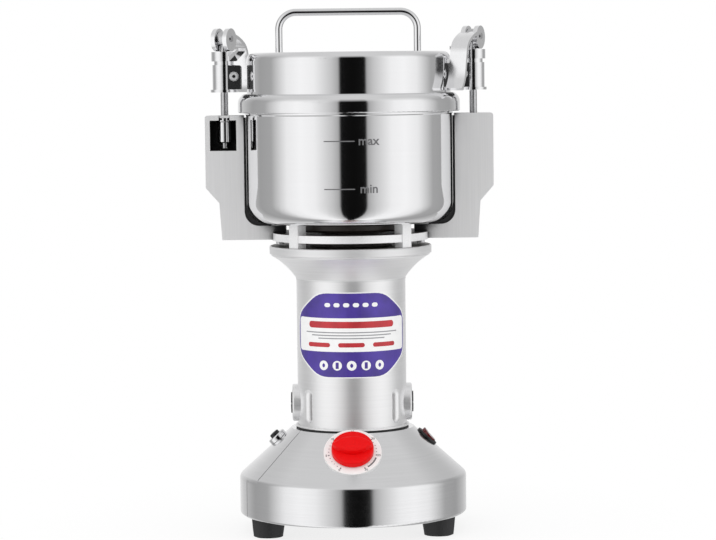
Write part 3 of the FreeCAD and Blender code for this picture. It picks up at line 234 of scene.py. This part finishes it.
knob_red = grain_finish("knob_red", (0.80, 0.001, 0.002), 0.0, 0.40, (700, 700, 700), 0.06, 0.05,
                        0.15, 0.03 * MM)
knob_red.node_tree.nodes["Principled BSDF"].inputs["Specular IOR Level"].default_value = KNOB_SHEEN
dress(knob_red, "timer_knob")
parts["timer_knob"].visible_glossy = False
rocker_red = grain_finish("rocker_red", (0.13, 0.004, 0.006), 0.0, 0.22, (500, 500, 500), 0.05, 0.08,
                          0.1, 0.02 * MM, 0.4)
dress(rocker_red, "switch_rocker")
dial_enamel = grain_finish("dial_enamel", (0.90, 0.90, 0.89), 0.0, 0.30, (500, 500, 500), 0.05, 0.02,
                           0.08, 0.02 * MM, 0.2)
dress(dial_enamel, "dial_plate")
timer_resin = grain_finish("timer_resin", (0.55, 0.50, 0.40), 0.0, 0.5, (300, 300, 300), 0.08, 0.08)
dress(timer_resin, "timer_body")
silicone = grain_finish("silicone", (0.62, 0.62, 0.60), 0.0, 0.55, (600, 600, 600), 0.08, 0.05)
dress(silicone, "shaft_seal", "lid_seal")

# %% [markdown]
# The hub under the bowl is dark, here a painted casting with a brown cast. The motor's own parts are hidden
# at rest and one grey would do for a picture, but the model can be opened, so each has its metal: laminated
# iron, varnished copper, brass, carbon and ground blades.
# %% Motor metals
# The same dark paint serves below as painted shade on the flange's ledge and the cage ring.
housing_paint_and_shade = grain_finish("housing_paint_and_shade", (0.050, 0.040, 0.034), 0.0, 0.42, (500, 500, 500), 0.1, 0.3,
                             0.3, 0.08 * MM)
dress(housing_paint_and_shade, "bearing_housing")
core_iron = grain_finish("core_iron", (0.32, 0.32, 0.33), 1.0, 0.42, (20, 20, 2400), 0.08, 0.25,
                         0.4, 0.05 * MM)
dress(core_iron, "stator_core", "armature")
varnished_copper = grain_finish("varnished_copper", (0.62, 0.24, 0.09), 1.0, 0.34, (40, 40, 2000), 0.08, 0.25,
                                0.5, 0.1 * MM)
dress(varnished_copper, "stator_windings", "commutator")
guide_brass = grain_finish("guide_brass", (0.75, 0.56, 0.25), 1.0, 0.26, (500, 500, 500), 0.06, 0.06)
dress(guide_brass, "brush_tubes")
carbon = grain_finish("carbon", (0.035, 0.035, 0.036), 0.0, 0.55, (900, 900, 900), 0.1, 0.3)
dress(carbon, "carbon_brushes")
blade_steel = grain_finish("blade_steel", (0.78, 0.78, 0.79), 1.0, 0.18, (900, 60, 60), 0.06, 0.05)
dress(blade_steel, "blade_lower", "blade_upper", "blade_spacer", "blade_nut")
print("parts still plain:", sorted(set(parts) - dressed))

# %% [markdown]
# The label is thin vinyl wrapped on the motor tube. An image on a cylinder could show it, but real shapes
# stay sharp at any distance. A shape is first drawn flat, in millimetres along the curve and up the tube,
# then cut into upright strips and rolled onto the cylinder.
# %% Roll a flat shape onto a cylinder
TUBE_RADIUS = 45.1
STRIP = 3.0


def settle(name, mesh, finish, owner):
    """Give a new mesh its finish, put it in the scene and let it ride on its body."""
    mesh.materials.append(finish)
    made = bpy.data.objects.new(name, mesh)
    bpy.context.scene.collection.objects.link(made)
    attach(made, owner)
    return made


def roll_up(name, work, radius, finish, owner):
    """Flat work in mm, rolled round Z at the front, at this radius in mm."""
    low = min(v.co.x for v in work.verts)
    high = max(v.co.x for v in work.verts)
    for step in range(1, int((high - low) / STRIP) + 1):
        everything = work.verts[:] + work.edges[:] + work.faces[:]
        bmesh.ops.bisect_plane(work, geom=everything, plane_co=(low + step * STRIP, 0, 0), plane_no=(1, 0, 0))
    for vert in work.verts:
        turn = vert.co.x / radius
        vert.co = Vector((radius * math.sin(turn), -radius * math.cos(turn), vert.co.z)) * MM
    bmesh.ops.recalc_face_normals(work, faces=work.faces[:])
    for face in work.faces:
        if face.normal.y > 0:
            face.normal_flip()
    mesh = bpy.data.meshes.new(name)
    work.to_mesh(mesh)
    work.free()
    made = settle(name, mesh, finish, owner)
    print(made.name, len(mesh.polygons), "faces")


def rolled(name, outlines, radius, finish, owner):
    """Flat outlines in mm, filled and rolled round Z."""
    work = bmesh.new()
    for outline in outlines:
        work.faces.new([work.verts.new((u, 0, v)) for u, v in outline])
    roll_up(name, work, radius, finish, owner)


print("a strip of", STRIP, "mm turns by", round(math.degrees(STRIP / TUBE_RADIUS), 2), "degrees on the tube")

# %% [markdown]
# Printed shapes are a few simple outlines: a panel with cut corners, whose ends are eased a little as a
# punch leaves them, and a bar with round ends. Both are lists of points, because a list can be placed many
# times in a loop and needs no modifier.
# %% Outlines for print
EASE_STEPS = 4
END_STEPS = 8


def cut_corner(half_wide, low, high, side_cut, top_cut, ease):
    """An upright oblong with its corners cut and the cuts' ends eased, as a list of points."""
    corners = [
        (-half_wide, low + top_cut), (-half_wide + side_cut, low), (half_wide - side_cut, low),
        (half_wide, low + top_cut), (half_wide, high - top_cut), (half_wide - side_cut, high),
        (-half_wide + side_cut, high), (-half_wide, high - top_cut),
    ]
    points = []
    for i, corner in enumerate(corners):
        here = Vector(corner)
        before = (Vector(corners[i - 1]) - here).normalized() * ease
        after = (Vector(corners[(i + 1) % len(corners)]) - here).normalized() * ease
        for step in range(EASE_STEPS + 1):
            t = step / EASE_STEPS
            spot = here + before * (1 - t) ** 2 + after * t ** 2
            points.append((spot.x, spot.y))
    return points


def pill(centre, height, wide, tall):
    """A bar with round ends."""
    end = tall / 2
    run = wide / 2 - end
    points = []
    for side in (1, -1):
        for step in range(END_STEPS + 1):
            turn = math.radians(-90 * side + 180 * step / END_STEPS)
            points.append((centre + side * run + end * math.cos(turn), height + end * math.sin(turn)))
    return points


print("a pill has", len(pill(0, 0, 10, 4)), "points")

# %% [markdown]
# The sticker is a plain one of the mill's own colours: a violet field with cut corners and a pale rim, a
# white panel across the middle, and bars, lines, dots and a row of grains. One mesh with many materials
# could hold it all. Here each colour is its own film, a few hundredths of a millimetre above the last, so
# that no two faces share a plane and flicker.
# %% The label
LABEL_LOW = 131.5
LABEL_HIGH = 200.0
LABEL_HALF = 55.0
LABEL_MID = (LABEL_LOW + LABEL_HIGH) / 2
LABEL_CUTS = (27, 19, 8)
RIM = 0.8
FILMS = {"rim": 0.06, "field": 0.10, "panel": 0.14, "print": 0.18, "grains": 0.22}
FOOT_ROW = LABEL_LOW + 9.5
FOOT_PLACES = [-24 + 12 * i for i in range(5)]

vinyl_violet = grain_finish("vinyl_violet", (0.060, 0.030, 0.290), 0.0, 0.36, (60, 60, 60), 0.04, 0.22,
                            0.02, 0.01 * MM, 0.2)
vinyl_white = grain_finish("vinyl_white", (0.90, 0.90, 0.90), 0.0, 0.36, (200, 200, 200), 0.04, 0.02,
                           0.02, 0.01 * MM, 0.2)
vinyl_red = grain_finish("vinyl_red", (0.50, 0.020, 0.030), 0.0, 0.36, (90, 90, 90), 0.04, 0.15,
                         0.02, 0.01 * MM, 0.2)
vinyl_grey = grain_finish("vinyl_grey", (0.30, 0.30, 0.32), 0.0, 0.40, (200, 200, 200), 0.04, 0.05, 0.02)


def film(name, outlines, layer, finish):
    rolled(name, outlines, TUBE_RADIUS + FILMS[layer], finish, "base")


rim = cut_corner(LABEL_HALF + RIM, LABEL_LOW - RIM, LABEL_HIGH + RIM, *LABEL_CUTS)
field = cut_corner(LABEL_HALF, LABEL_LOW, LABEL_HIGH, *LABEL_CUTS)
panel = cut_corner(LABEL_HALF - 2, LABEL_MID - 13.5, LABEL_MID + 14, 2, 2, 1.5)
film("label_rim", [rim], "rim", vinyl_white)
film("label_field", [field], "field", vinyl_violet)
film("label_panel", [panel], "panel", vinyl_white)
bars = [pill(0, LABEL_MID + 8.5, 78, 5.4)]
bars += [pill(offset, LABEL_MID - 8.0, 22, 3.6) for offset in (-29, 0, 29)]
film("label_bars", bars, "print", vinyl_red)
lines = [pill(0, LABEL_MID + 2.2 - 2.4 * row, 86 - 14 * row, 0.9) for row in range(3)]
film("label_lines", lines, "print", vinyl_grey)
marks = [pill(-20 + 8 * i, LABEL_HIGH - 9.5, 5.2, 3.4) for i in range(6)]
marks += [pill(place, FOOT_ROW, 8.0, 8.0) for place in FOOT_PLACES]
film("label_marks", marks, "print", vinyl_white)
grains = [pill(place, FOOT_ROW, 2.6, 5.2 if i % 2 else 3.4)[::-1] for i, place in enumerate(FOOT_PLACES)]
film("label_grains", grains, "grains", vinyl_violet)
print("label", 2 * LABEL_HALF, "x", LABEL_HIGH - LABEL_LOW, "mm")

# %% [markdown]
# Two level marks are printed on the bowl, each a thin line with a small word beside it. A text object can't
# be bent round the bowl as it is, so the word is first turned into filled faces and then rolled on like the
# label. A small offset makes the letters as bold as print.
# %% Level marks on the bowl
BOWL_RADIUS = 85.0
INK_LIFT = 0.08
MARK_HEIGHTS = {"max": 324.6, "min": 286.4}
LINE_PLACE = -8.0
LINE_SIZE = (25, 0.9)
WORD_PLACE = 15.8
WORD_SIZE = 10.0
WORD_WEIGHT = 0.2

print_ink = grain_finish("print_ink", (0.14, 0.14, 0.145), 0.0, 0.45, (300, 300, 300), 0.05, 0.1, 0.02)


def text_mesh(words, size, weight):
    """Filled faces of a short text, its middle line on the origin, in mm."""
    curve = bpy.data.curves.new("words", "FONT")
    curve.offset = weight
    curve.body = words
    curve.size = size
    curve.align_x = "CENTER"
    curve.align_y = "CENTER"
    curve.resolution_u = 3
    holder = bpy.data.objects.new("words", curve)
    bpy.context.scene.collection.objects.link(holder)
    bpy.context.view_layer.update()
    mesh = bpy.data.meshes.new_from_object(holder)
    bpy.data.objects.remove(holder)
    bpy.data.curves.remove(curve)
    return mesh


for word, height in MARK_HEIGHTS.items():
    line = pill(LINE_PLACE, height, *LINE_SIZE)
    rolled(f"level_line_{word}", [line], BOWL_RADIUS + INK_LIFT, print_ink, "base")
    letters = bmesh.new()
    letters.from_mesh(text_mesh(word, WORD_SIZE, WORD_WEIGHT))
    for vert in letters.verts:
        vert.co = Vector((vert.co.x + WORD_PLACE, 0, vert.co.y + height))
    roll_up(f"level_word_{word}", letters, BOWL_RADIUS + INK_LIFT, print_ink, "base")
    print("mark", word, "at", height, "mm")

# %% [markdown]
# The dial's scale lies on the sloping face of the base. It could be drawn tilted, point by point, but it is
# far easier to draw it flat and put it on the plate by one matrix. The matrix's axes are the slope's own,
# and its height over the slope is measured from the plate.
# %% The dial's plane
CONE_RADIUS = 50.7
CONE_HIGH = 86.0
RIM_RADIUS = 94.0
RIM_HIGH = 47.0
SLOPE = math.atan2(CONE_HIGH - RIM_HIGH, RIM_RADIUS - CONE_RADIUS)
DIAL_OUT = 20.0
DIAL_LIFT = 0.05

normal = Vector((0, -math.sin(SLOPE), math.cos(SLOPE)))
across = Vector((1, 0, 0))
upward = normal.cross(across)
spot = Vector((0, -(CONE_RADIUS + DIAL_OUT * math.cos(SLOPE)), CONE_HIGH - DIAL_OUT * math.sin(SLOPE))) * MM
lift = max((v.co - spot).dot(normal) for v in parts["dial_plate"].data.vertices)
face = spot + normal * (lift + DIAL_LIFT * MM)
dial_matrix = Matrix((
    (across.x, upward.x, normal.x, face.x),
    (across.y, upward.y, normal.y, face.y),
    (across.z, upward.z, normal.z, face.z),
    (0, 0, 0, 1),
))


def on_dial(name, work):
    """Put flat work, in mm about the dial's middle, on the plate in print ink."""
    for vert in work.verts:
        vert.co = vert.co * MM
    mesh = bpy.data.meshes.new(name)
    work.to_mesh(mesh)
    work.free()
    mesh.transform(dial_matrix)
    made = settle(name, mesh, print_ink, "base")
    print(made.name, len(mesh.polygons), "faces")


print("dial face lifted by", round(lift / MM, 2), "mm")

# %% [markdown]
# The scale is printed on the enamel: a tick for each minute, a longer one and a number for each fifth, and
# a bold arc at one end. A loop sets them by angle, so that ticks and numbers can't drift apart.
# %% The dial's scale
MINUTES = 30
LONG_EACH = 5
SCALE_START = -120
SCALE_SWEEP = 300
TICK_RADIUS = 18.9
NUMBER_RADIUS = 21.6315
ARC_START = -52
ARC_SWEEP = 34
ARC_STEPS = 12
ARC_INNER = 19.3
ARC_OUTER = 20.5


def around(degrees):
    turn = math.radians(degrees)
    return Vector((math.cos(turn), math.sin(turn), 0))


def minute_angle(minute):
    return SCALE_START - SCALE_SWEEP * minute / MINUTES


ticks = bmesh.new()
for minute in range(MINUTES + 1):
    half, long = (0.3, 0.9) if minute % LONG_EACH else (0.5, 1.4)
    out = around(minute_angle(minute))
    side = Vector((-out.y, out.x, 0)) * half
    start = out * TICK_RADIUS
    end = out * (TICK_RADIUS + long)
    ticks.faces.new([ticks.verts.new(p) for p in (start - side, end - side, end + side, start + side)])
on_dial("dial_ticks", ticks)

numbers = bmesh.new()
for minute in range(0, MINUTES + 1, LONG_EACH):
    shape = text_mesh(str(minute), 2.9, 0.06)
    shape.transform(Matrix.Translation(around(minute_angle(minute)) * NUMBER_RADIUS))
    numbers.from_mesh(shape)
on_dial("dial_numbers", numbers)

sweep = bmesh.new()
row = []
for step in range(ARC_STEPS + 1):
    out = around(ARC_START + ARC_SWEEP * step / ARC_STEPS)
    row.append((sweep.verts.new(out * ARC_INNER), sweep.verts.new(out * ARC_OUTER)))
for (a, b), (c, e) in zip(row, row[1:]):
    sweep.faces.new((a, b, e, c))
on_dial("dial_arc", sweep)

# %% [markdown]
# The clamp rods are threaded. A bump could hint at it, but a thread shows best on the rod's outline, so it
# has to be geometry. The rod in CAD is smooth, and one helix is laid on it: a ridge that stands out a
# quarter of a millimetre and climbs one millimetre a turn, as on an M6 rod.
# %% Threads on the clamp rods
POST = 102.6
ROD_RADIUS = 3.0
THREAD_SINK = 0.02
THREAD_PROUD = 0.24
THREAD_LOW = 345.3
THREAD_HIGH = 363.4
PITCH = 1.0
STEPS = 24
RIDGE = (
    (ROD_RADIUS - THREAD_SINK, 0),
    (ROD_RADIUS + THREAD_PROUD, PITCH * 0.5),
    (ROD_RADIUS - THREAD_SINK, PITCH),
)


def thread(name, x, owner):
    """One helix round an upright rod at this x."""
    mesh = bpy.data.meshes.new(name)
    points = []
    count = int((THREAD_HIGH - THREAD_LOW - PITCH) / PITCH * STEPS)
    for i in range(count + 1):
        turn = 2 * math.pi * i / STEPS
        z = THREAD_LOW + PITCH * i / STEPS
        for out, rise in RIDGE:
            points.append(((x + out * math.cos(turn)) * MM, out * math.sin(turn) * MM, (z + rise) * MM))
    faces = []
    for i in range(count):
        for k in range(2):
            a = 3 * i + k
            faces.append((a, a + 3, a + 4, a + 1))
    mesh.from_pydata(points, [], faces)
    for face in mesh.polygons:
        face.use_smooth = True
    made = settle(name, mesh, rod_steel, owner)
    print(made.name, len(faces), "faces")


for side, sign in (("left", -1), ("right", 1)):
    thread(f"rod_thread_{side}", sign * POST, f"head_{side}")

# %% [markdown]
# The screws that hold the black blocks have a hexagonal socket. Cutting it would mean changing the CAD part.
# A dark hexagon of painted shade just above the head reads as the socket from any distance at which the mill
# is seen whole, and costs one face.
# %% Painted shade for the sockets in the block screws
SCREW_PLACE = 8.6
SOCKET_RADIUS = 1.5 * MM
SOCKET_TURN = 15
SOCKET_LIFT = 0.03 * MM

# Painted shade: a dark metal for the hollow of each screw socket, and for the lap seam below.
painted_shade_dark = grain_finish("painted_shade_dark", (0.05, 0.05, 0.052), 1.0, 0.4, (500, 500, 500), 0.08, 0.2)
for side, sign in (("left", -1), ("right", 1)):
    low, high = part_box(f"block_screws_{side}")
    work = bmesh.new()
    x = sign * (POST - SCREW_PLACE) * MM
    z = (low.z + high.z) / 2
    for y in (low.y - SOCKET_LIFT, high.y + SOCKET_LIFT):
        corners = [around(60 * corner + SOCKET_TURN) * SOCKET_RADIUS for corner in range(6)]
        work.faces.new([work.verts.new((x + corner.x, y, z + corner.y)) for corner in corners])
    mesh = bpy.data.meshes.new(f"screw_socket_shade_{side}")
    work.to_mesh(mesh)
    work.free()
    made = settle(mesh.name, mesh, painted_shade_dark, f"press_{side}")
    print(made.name, "at x", round(x, 4))

# %% [markdown]
# In the photo the gap between bowl and flange is dark. What darkens it can't be seen. A dark ring in the
# middle of the cage, a guess, darkens it here, and it hides the light behind. It could be a lathe modifier on
# a curve, but a profile of radius and height spun round the motor's axis by a short loop is as plain.
# %% Dark ring under the bowl
TURNED_SEGMENTS = 96
DARK_RING = (
    (34.4, 248.4), (44.5, 249.4), (47.0, 251.0), (47.0, 254.6), (45.8, 255.4), (34.4, 255.4), (33.6, 252.0),
)


def turned(name, profile, finish, owner):
    """A ring whose cut is this profile of (radius, height) in mm."""
    points = []
    faces = []
    count = len(profile)
    for i in range(TURNED_SEGMENTS):
        turn = 2 * math.pi * i / TURNED_SEGMENTS
        for radius, z in profile:
            points.append((radius * math.cos(turn) * MM, radius * math.sin(turn) * MM, z * MM))
        here = i * count
        after = (i + 1) % TURNED_SEGMENTS * count
        for k in range(count):
            ahead = (k + 1) % count
            faces.append((here + k, after + k, after + ahead, here + ahead))
    mesh = bpy.data.meshes.new(name)
    mesh.from_pydata(points, [], faces)
    made = settle(name, mesh, finish, owner)
    print(made.name, len(faces), "faces")


turned("cage_dark_ring", DARK_RING, housing_paint_and_shade, "base")

# %% [markdown]
# In the photo the cage reads as white bars over a dark gap. Black films on the flange's ledge and on top of
# the cage ring give that as painted shade, each a turned ring a tenth of a millimetre thick. The gasket under
# the motor tube shows as a thin line there, so a steel ring round its upper half narrows it. Both are
# guesses.
# %% Painted shade on the ledge and a foot ring
LEDGE_PAINTED_SHADE = ((34.4, 237.02), (65.6, 237.02), (65.6, 237.14), (34.4, 237.14))
RING_PAINTED_SHADE = ((50.8, 247.82), (64.1, 247.82), (64.1, 247.92), (50.8, 247.92))
FOOT_RING = (
    (46.65, 87.2), (47.0, 87.4), (47.0, 88.4), (46.6, 88.75), (45.2, 88.75), (45.2, 88.55), (46.65, 88.55),
)
# Painted shade: two black films, in the hub's dark paint, on the ledge and on the cage ring.
turned("ledge_painted_shade", LEDGE_PAINTED_SHADE, housing_paint_and_shade, "base")
turned("ring_painted_shade", RING_PAINTED_SHADE, housing_paint_and_shade, "base")
turned("column_foot_ring", FOOT_RING, satin_alloy, "base")

# %% [markdown]
# The base sheet laps over itself at the left. The groove in CAD is narrow, and bright metal on both sides
# hides it. A deeper groove would need another CAD model, so a dark line lies in its bottom instead: one run
# down the cone, and one down the rim.
# %% Shadow in the lap seam
CONE_TURN = -147
RIM_TURN = -158
SEAM_HALF = 0.33
SEAM_DEEP = 0.15
SEAM_SHORT = 3
RIM_LINE = (18.0, 45.0)


def seam_strip(name, degrees, low, high):
    """A narrow strip from (radius, height) to (radius, height) in the upright plane at this angle."""
    out = around(degrees)
    aside = Vector((-out.y, out.x, 0)) * SEAM_HALF
    ends = [out * point.x + Vector((0, 0, point.y)) for point in (low, high)]
    points = [(end + side) * MM for end in ends for side in (aside, -aside)]
    mesh = bpy.data.meshes.new(name)
    mesh.from_pydata(points, [], [(0, 1, 3, 2)])
    made = settle(name, mesh, painted_shade_dark, "base")
    print(made.name, round((high - low).length, 1), "mm long")


cone_foot = Vector((RIM_RADIUS, RIM_HIGH))
cone_top = Vector((CONE_RADIUS, CONE_HIGH))
along = (cone_top - cone_foot).normalized()
short = along * SEAM_SHORT
sunk = Vector((-along.y, along.x)) * SEAM_DEEP
seam_strip("seam_cone", CONE_TURN, cone_foot + short + sunk, cone_top - short + sunk)
rim_low, rim_high = [Vector((RIM_RADIUS - SEAM_DEEP, height)) for height in RIM_LINE]
seam_strip("seam_rim", RIM_TURN, rim_low, rim_high)

# %% [markdown]
# Polished steel is lit by what stands round it: here a white tent, dark on the camera's side. The dark side
# gives the black stripe down the middle, its edges the grey beside it, and the tent's sides the bright
# bands. Cards and lamps could do the same, but one large sphere is easier to steer. Only reflections see
# it, and it is turned a little, because the stripe in the photo stands right of the middle.
# %% The light tent
TENT_RADIUS = 5.0
TENT_TURN = 4.5

tent_mesh = bpy.data.meshes.new("light_tent")
work = bmesh.new()
bmesh.ops.create_uvsphere(work, u_segments=64, v_segments=32, radius=TENT_RADIUS)
work.to_mesh(tent_mesh)
work.free()
tent = bpy.data.objects.new("light_tent", tent_mesh)
bpy.context.scene.collection.objects.link(tent)
tent.visible_camera = False
tent.visible_diffuse = False
tent.visible_transmission = False
tent.visible_shadow = False
tent.rotation_euler.z = math.radians(TENT_TURN)
print("light tent", 2 * TENT_RADIUS, "m across")

# %% [markdown]
# The tent's light is written against the angle from the camera's side: nought in front, one behind. A
# painted image could hold it, but a colour ramp over that angle can be read and changed stop by stop. The
# roof is an even grey, so that the lid's top doesn't burn out.
# %% Light on the tent's cloth
TENT_LIGHT = (
    (0.000, 0.004), (0.076, 0.006), (0.088, 0.42), (0.130, 0.60), (0.240, 0.94), (0.330, 1.00),
    (0.430, 0.90), (0.560, 0.40), (0.680, 0.36), (0.840, 0.62), (1.000, 0.90),
)
ROOF_LIGHT = 0.66
ROOF_LOW = 0.40
ROOF_HIGH = 0.80

tent_cloth = bpy.data.materials.new("tent_cloth")
tent_cloth.use_nodes = True
nodes = tent_cloth.node_tree.nodes
links = tent_cloth.node_tree.links
nodes.clear()
place = nodes.new("ShaderNodeTexCoord")
split = nodes.new("ShaderNodeSeparateXYZ")
links.new(place.outputs["Object"], split.inputs["Vector"])


def reckon(operation, value, number=0.0):
    """A Math node that works on this value, with a plain number for its second input."""
    made = nodes.new("ShaderNodeMath")
    made.operation = operation
    links.new(value, made.inputs[0])
    made.inputs[1].default_value = number
    return made


sideways = reckon("ABSOLUTE", split.outputs["X"])
towards = reckon("MULTIPLY", split.outputs["Y"], -1.0)
angle = reckon("ARCTAN2", sideways.outputs[0])
links.new(towards.outputs[0], angle.inputs[1])
share = reckon("DIVIDE", angle.outputs[0], math.pi)
bands = nodes.new("ShaderNodeValToRGB")
ramp = bands.color_ramp
ramp.elements[0].position = TENT_LIGHT[0][0]
ramp.elements[1].position = TENT_LIGHT[-1][0]
for stop in TENT_LIGHT[1:-1]:
    ramp.elements.new(stop[0])
for element, (position, light) in zip(ramp.elements, TENT_LIGHT):
    element.position = position
    element.color = (light, light, light, 1)
links.new(share.outputs[0], bands.inputs["Fac"])
climb = nodes.new("ShaderNodeMapRange")
climb.inputs["From Min"].default_value = ROOF_LOW * TENT_RADIUS
climb.inputs["From Max"].default_value = ROOF_HIGH * TENT_RADIUS
links.new(split.outputs["Z"], climb.inputs["Value"])
roof = nodes.new("ShaderNodeMix")
roof.data_type = "RGBA"
roof.inputs["B"].default_value = (ROOF_LIGHT, ROOF_LIGHT, ROOF_LIGHT, 1)
links.new(climb.outputs["Result"], roof.inputs["Factor"])
links.new(bands.outputs["Color"], roof.inputs["A"])
glow = nodes.new("ShaderNodeEmission")
links.new(roof.outputs["Result"], glow.inputs["Color"])
cloth_out = nodes.new("ShaderNodeOutputMaterial")
links.new(glow.outputs["Emission"], cloth_out.inputs["Surface"])
tent_mesh.materials.append(tent_cloth)
print("tent light with", len(TENT_LIGHT), "stops")

# %% [markdown]
# The floor is a plain pale plane. A white floor alone would show a grey horizon, so close to the mill it
# takes a soft shadow, and further out it fades to the white of the backdrop. The mill's mirrors see the
# tent in place of the floor.
# %% The floor
FLOOR_HALF = 6.0
FADE_NEAR = 0.12
FADE_FAR = 0.30
NEAR_WHITE = 0.8

floor_mesh = bpy.data.meshes.new("floor")
corners = [(-FLOOR_HALF, -FLOOR_HALF, 0), (FLOOR_HALF, -FLOOR_HALF, 0), (FLOOR_HALF, FLOOR_HALF, 0),
           (-FLOOR_HALF, FLOOR_HALF, 0)]
floor_mesh.from_pydata(corners, [], [(0, 1, 2, 3)])
floor = bpy.data.objects.new("floor", floor_mesh)
bpy.context.scene.collection.objects.link(floor)
floor.visible_glossy = False

floor_paint = bpy.data.materials.new("floor_paint")
floor_paint.use_nodes = True
nodes = floor_paint.node_tree.nodes
links = floor_paint.node_tree.links
paint = nodes["Principled BSDF"]
paint.inputs["Base Color"].default_value = (0.92, 0.92, 0.92, 1)
paint.inputs["Roughness"].default_value = 0.9
paint.inputs["Specular IOR Level"].default_value = 0.0
place = nodes.new("ShaderNodeTexCoord")
reach = nodes.new("ShaderNodeVectorMath")
reach.operation = "LENGTH"
links.new(place.outputs["Object"], reach.inputs[0])
fade = nodes.new("ShaderNodeMapRange")
fade.inputs["From Min"].default_value = FADE_NEAR
fade.inputs["From Max"].default_value = FADE_FAR
fade.inputs["To Min"].default_value = NEAR_WHITE
links.new(reach.outputs["Value"], fade.inputs["Value"])
white = nodes.new("ShaderNodeEmission")
blend = nodes.new("ShaderNodeMixShader")
links.new(fade.outputs["Result"], blend.inputs["Fac"])
links.new(paint.outputs["BSDF"], blend.inputs[1])
links.new(white.outputs["Emission"], blend.inputs[2])
links.new(blend.outputs["Shader"], nodes["Material Output"].inputs["Surface"])
floor_mesh.materials.append(floor_paint)
print("floor", 2 * FLOOR_HALF, "m across")

# %% [markdown]
# The world is the white backdrop and the even light round the mill. Alone it would leave rubber and plastic
# flat, so one wide lamp above the front gives them a gentle top light. The lamp is kept out of reflections,
# where the tent rules.
# %% World and lamp
world = bpy.data.worlds.new("studio")
bpy.context.scene.world = world
world.use_nodes = True
backdrop = world.node_tree.nodes["Background"]
backdrop.inputs["Color"].default_value = (1, 1, 1, 1)
backdrop.inputs["Strength"].default_value = 1.0

lamp_data = bpy.data.lights.new("soft_lamp", "AREA")
lamp_data.shape = "RECTANGLE"
lamp_data.size = 1.6
lamp_data.size_y = 1.2
lamp_data.energy = 5.0
lamp = bpy.data.objects.new("soft_lamp", lamp_data)
bpy.context.scene.collection.objects.link(lamp)
lamp.location = (-0.6, -1.4, 1.8)
lamp.rotation_euler = (Vector((0, 0, 0.2)) - lamp.location).to_track_quat("-Z", "Y").to_euler()
lamp.visible_glossy = False
bpy.context.scene.view_settings.view_transform = "Standard"
print("lamp", lamp_data.energy, "W")

# %% [markdown]
# The photograph was taken from a good two metres with a long lens, about level with the lid and looking
# slightly down, and it leans by less than a degree. A nearer camera with a wide lens could frame the mill
# as well, but would curve its rims more. Distance and lens come from those rims, the lean from the mill's
# own middle line.
# %% Camera
LENS = 138.3
LOOK_DOWN = 4.13
LEAN = -0.65

camera_data = bpy.data.cameras.new("camera")
camera_data.sensor_width = 36.0
camera_data.lens = LENS
camera = bpy.data.objects.new("camera", camera_data)
bpy.context.scene.collection.objects.link(camera)
camera.location = (0.0060, -2.273, 0.380)
tilt = Quaternion((1, 0, 0), math.radians(90 - LOOK_DOWN))
lean = Quaternion((0, 0, 1), math.radians(LEAN))
camera.rotation_mode = "QUATERNION"
camera.rotation_quaternion = tilt @ lean
bpy.context.scene.camera = camera
print("camera at", tuple(round(v, 3) for v in camera.location))
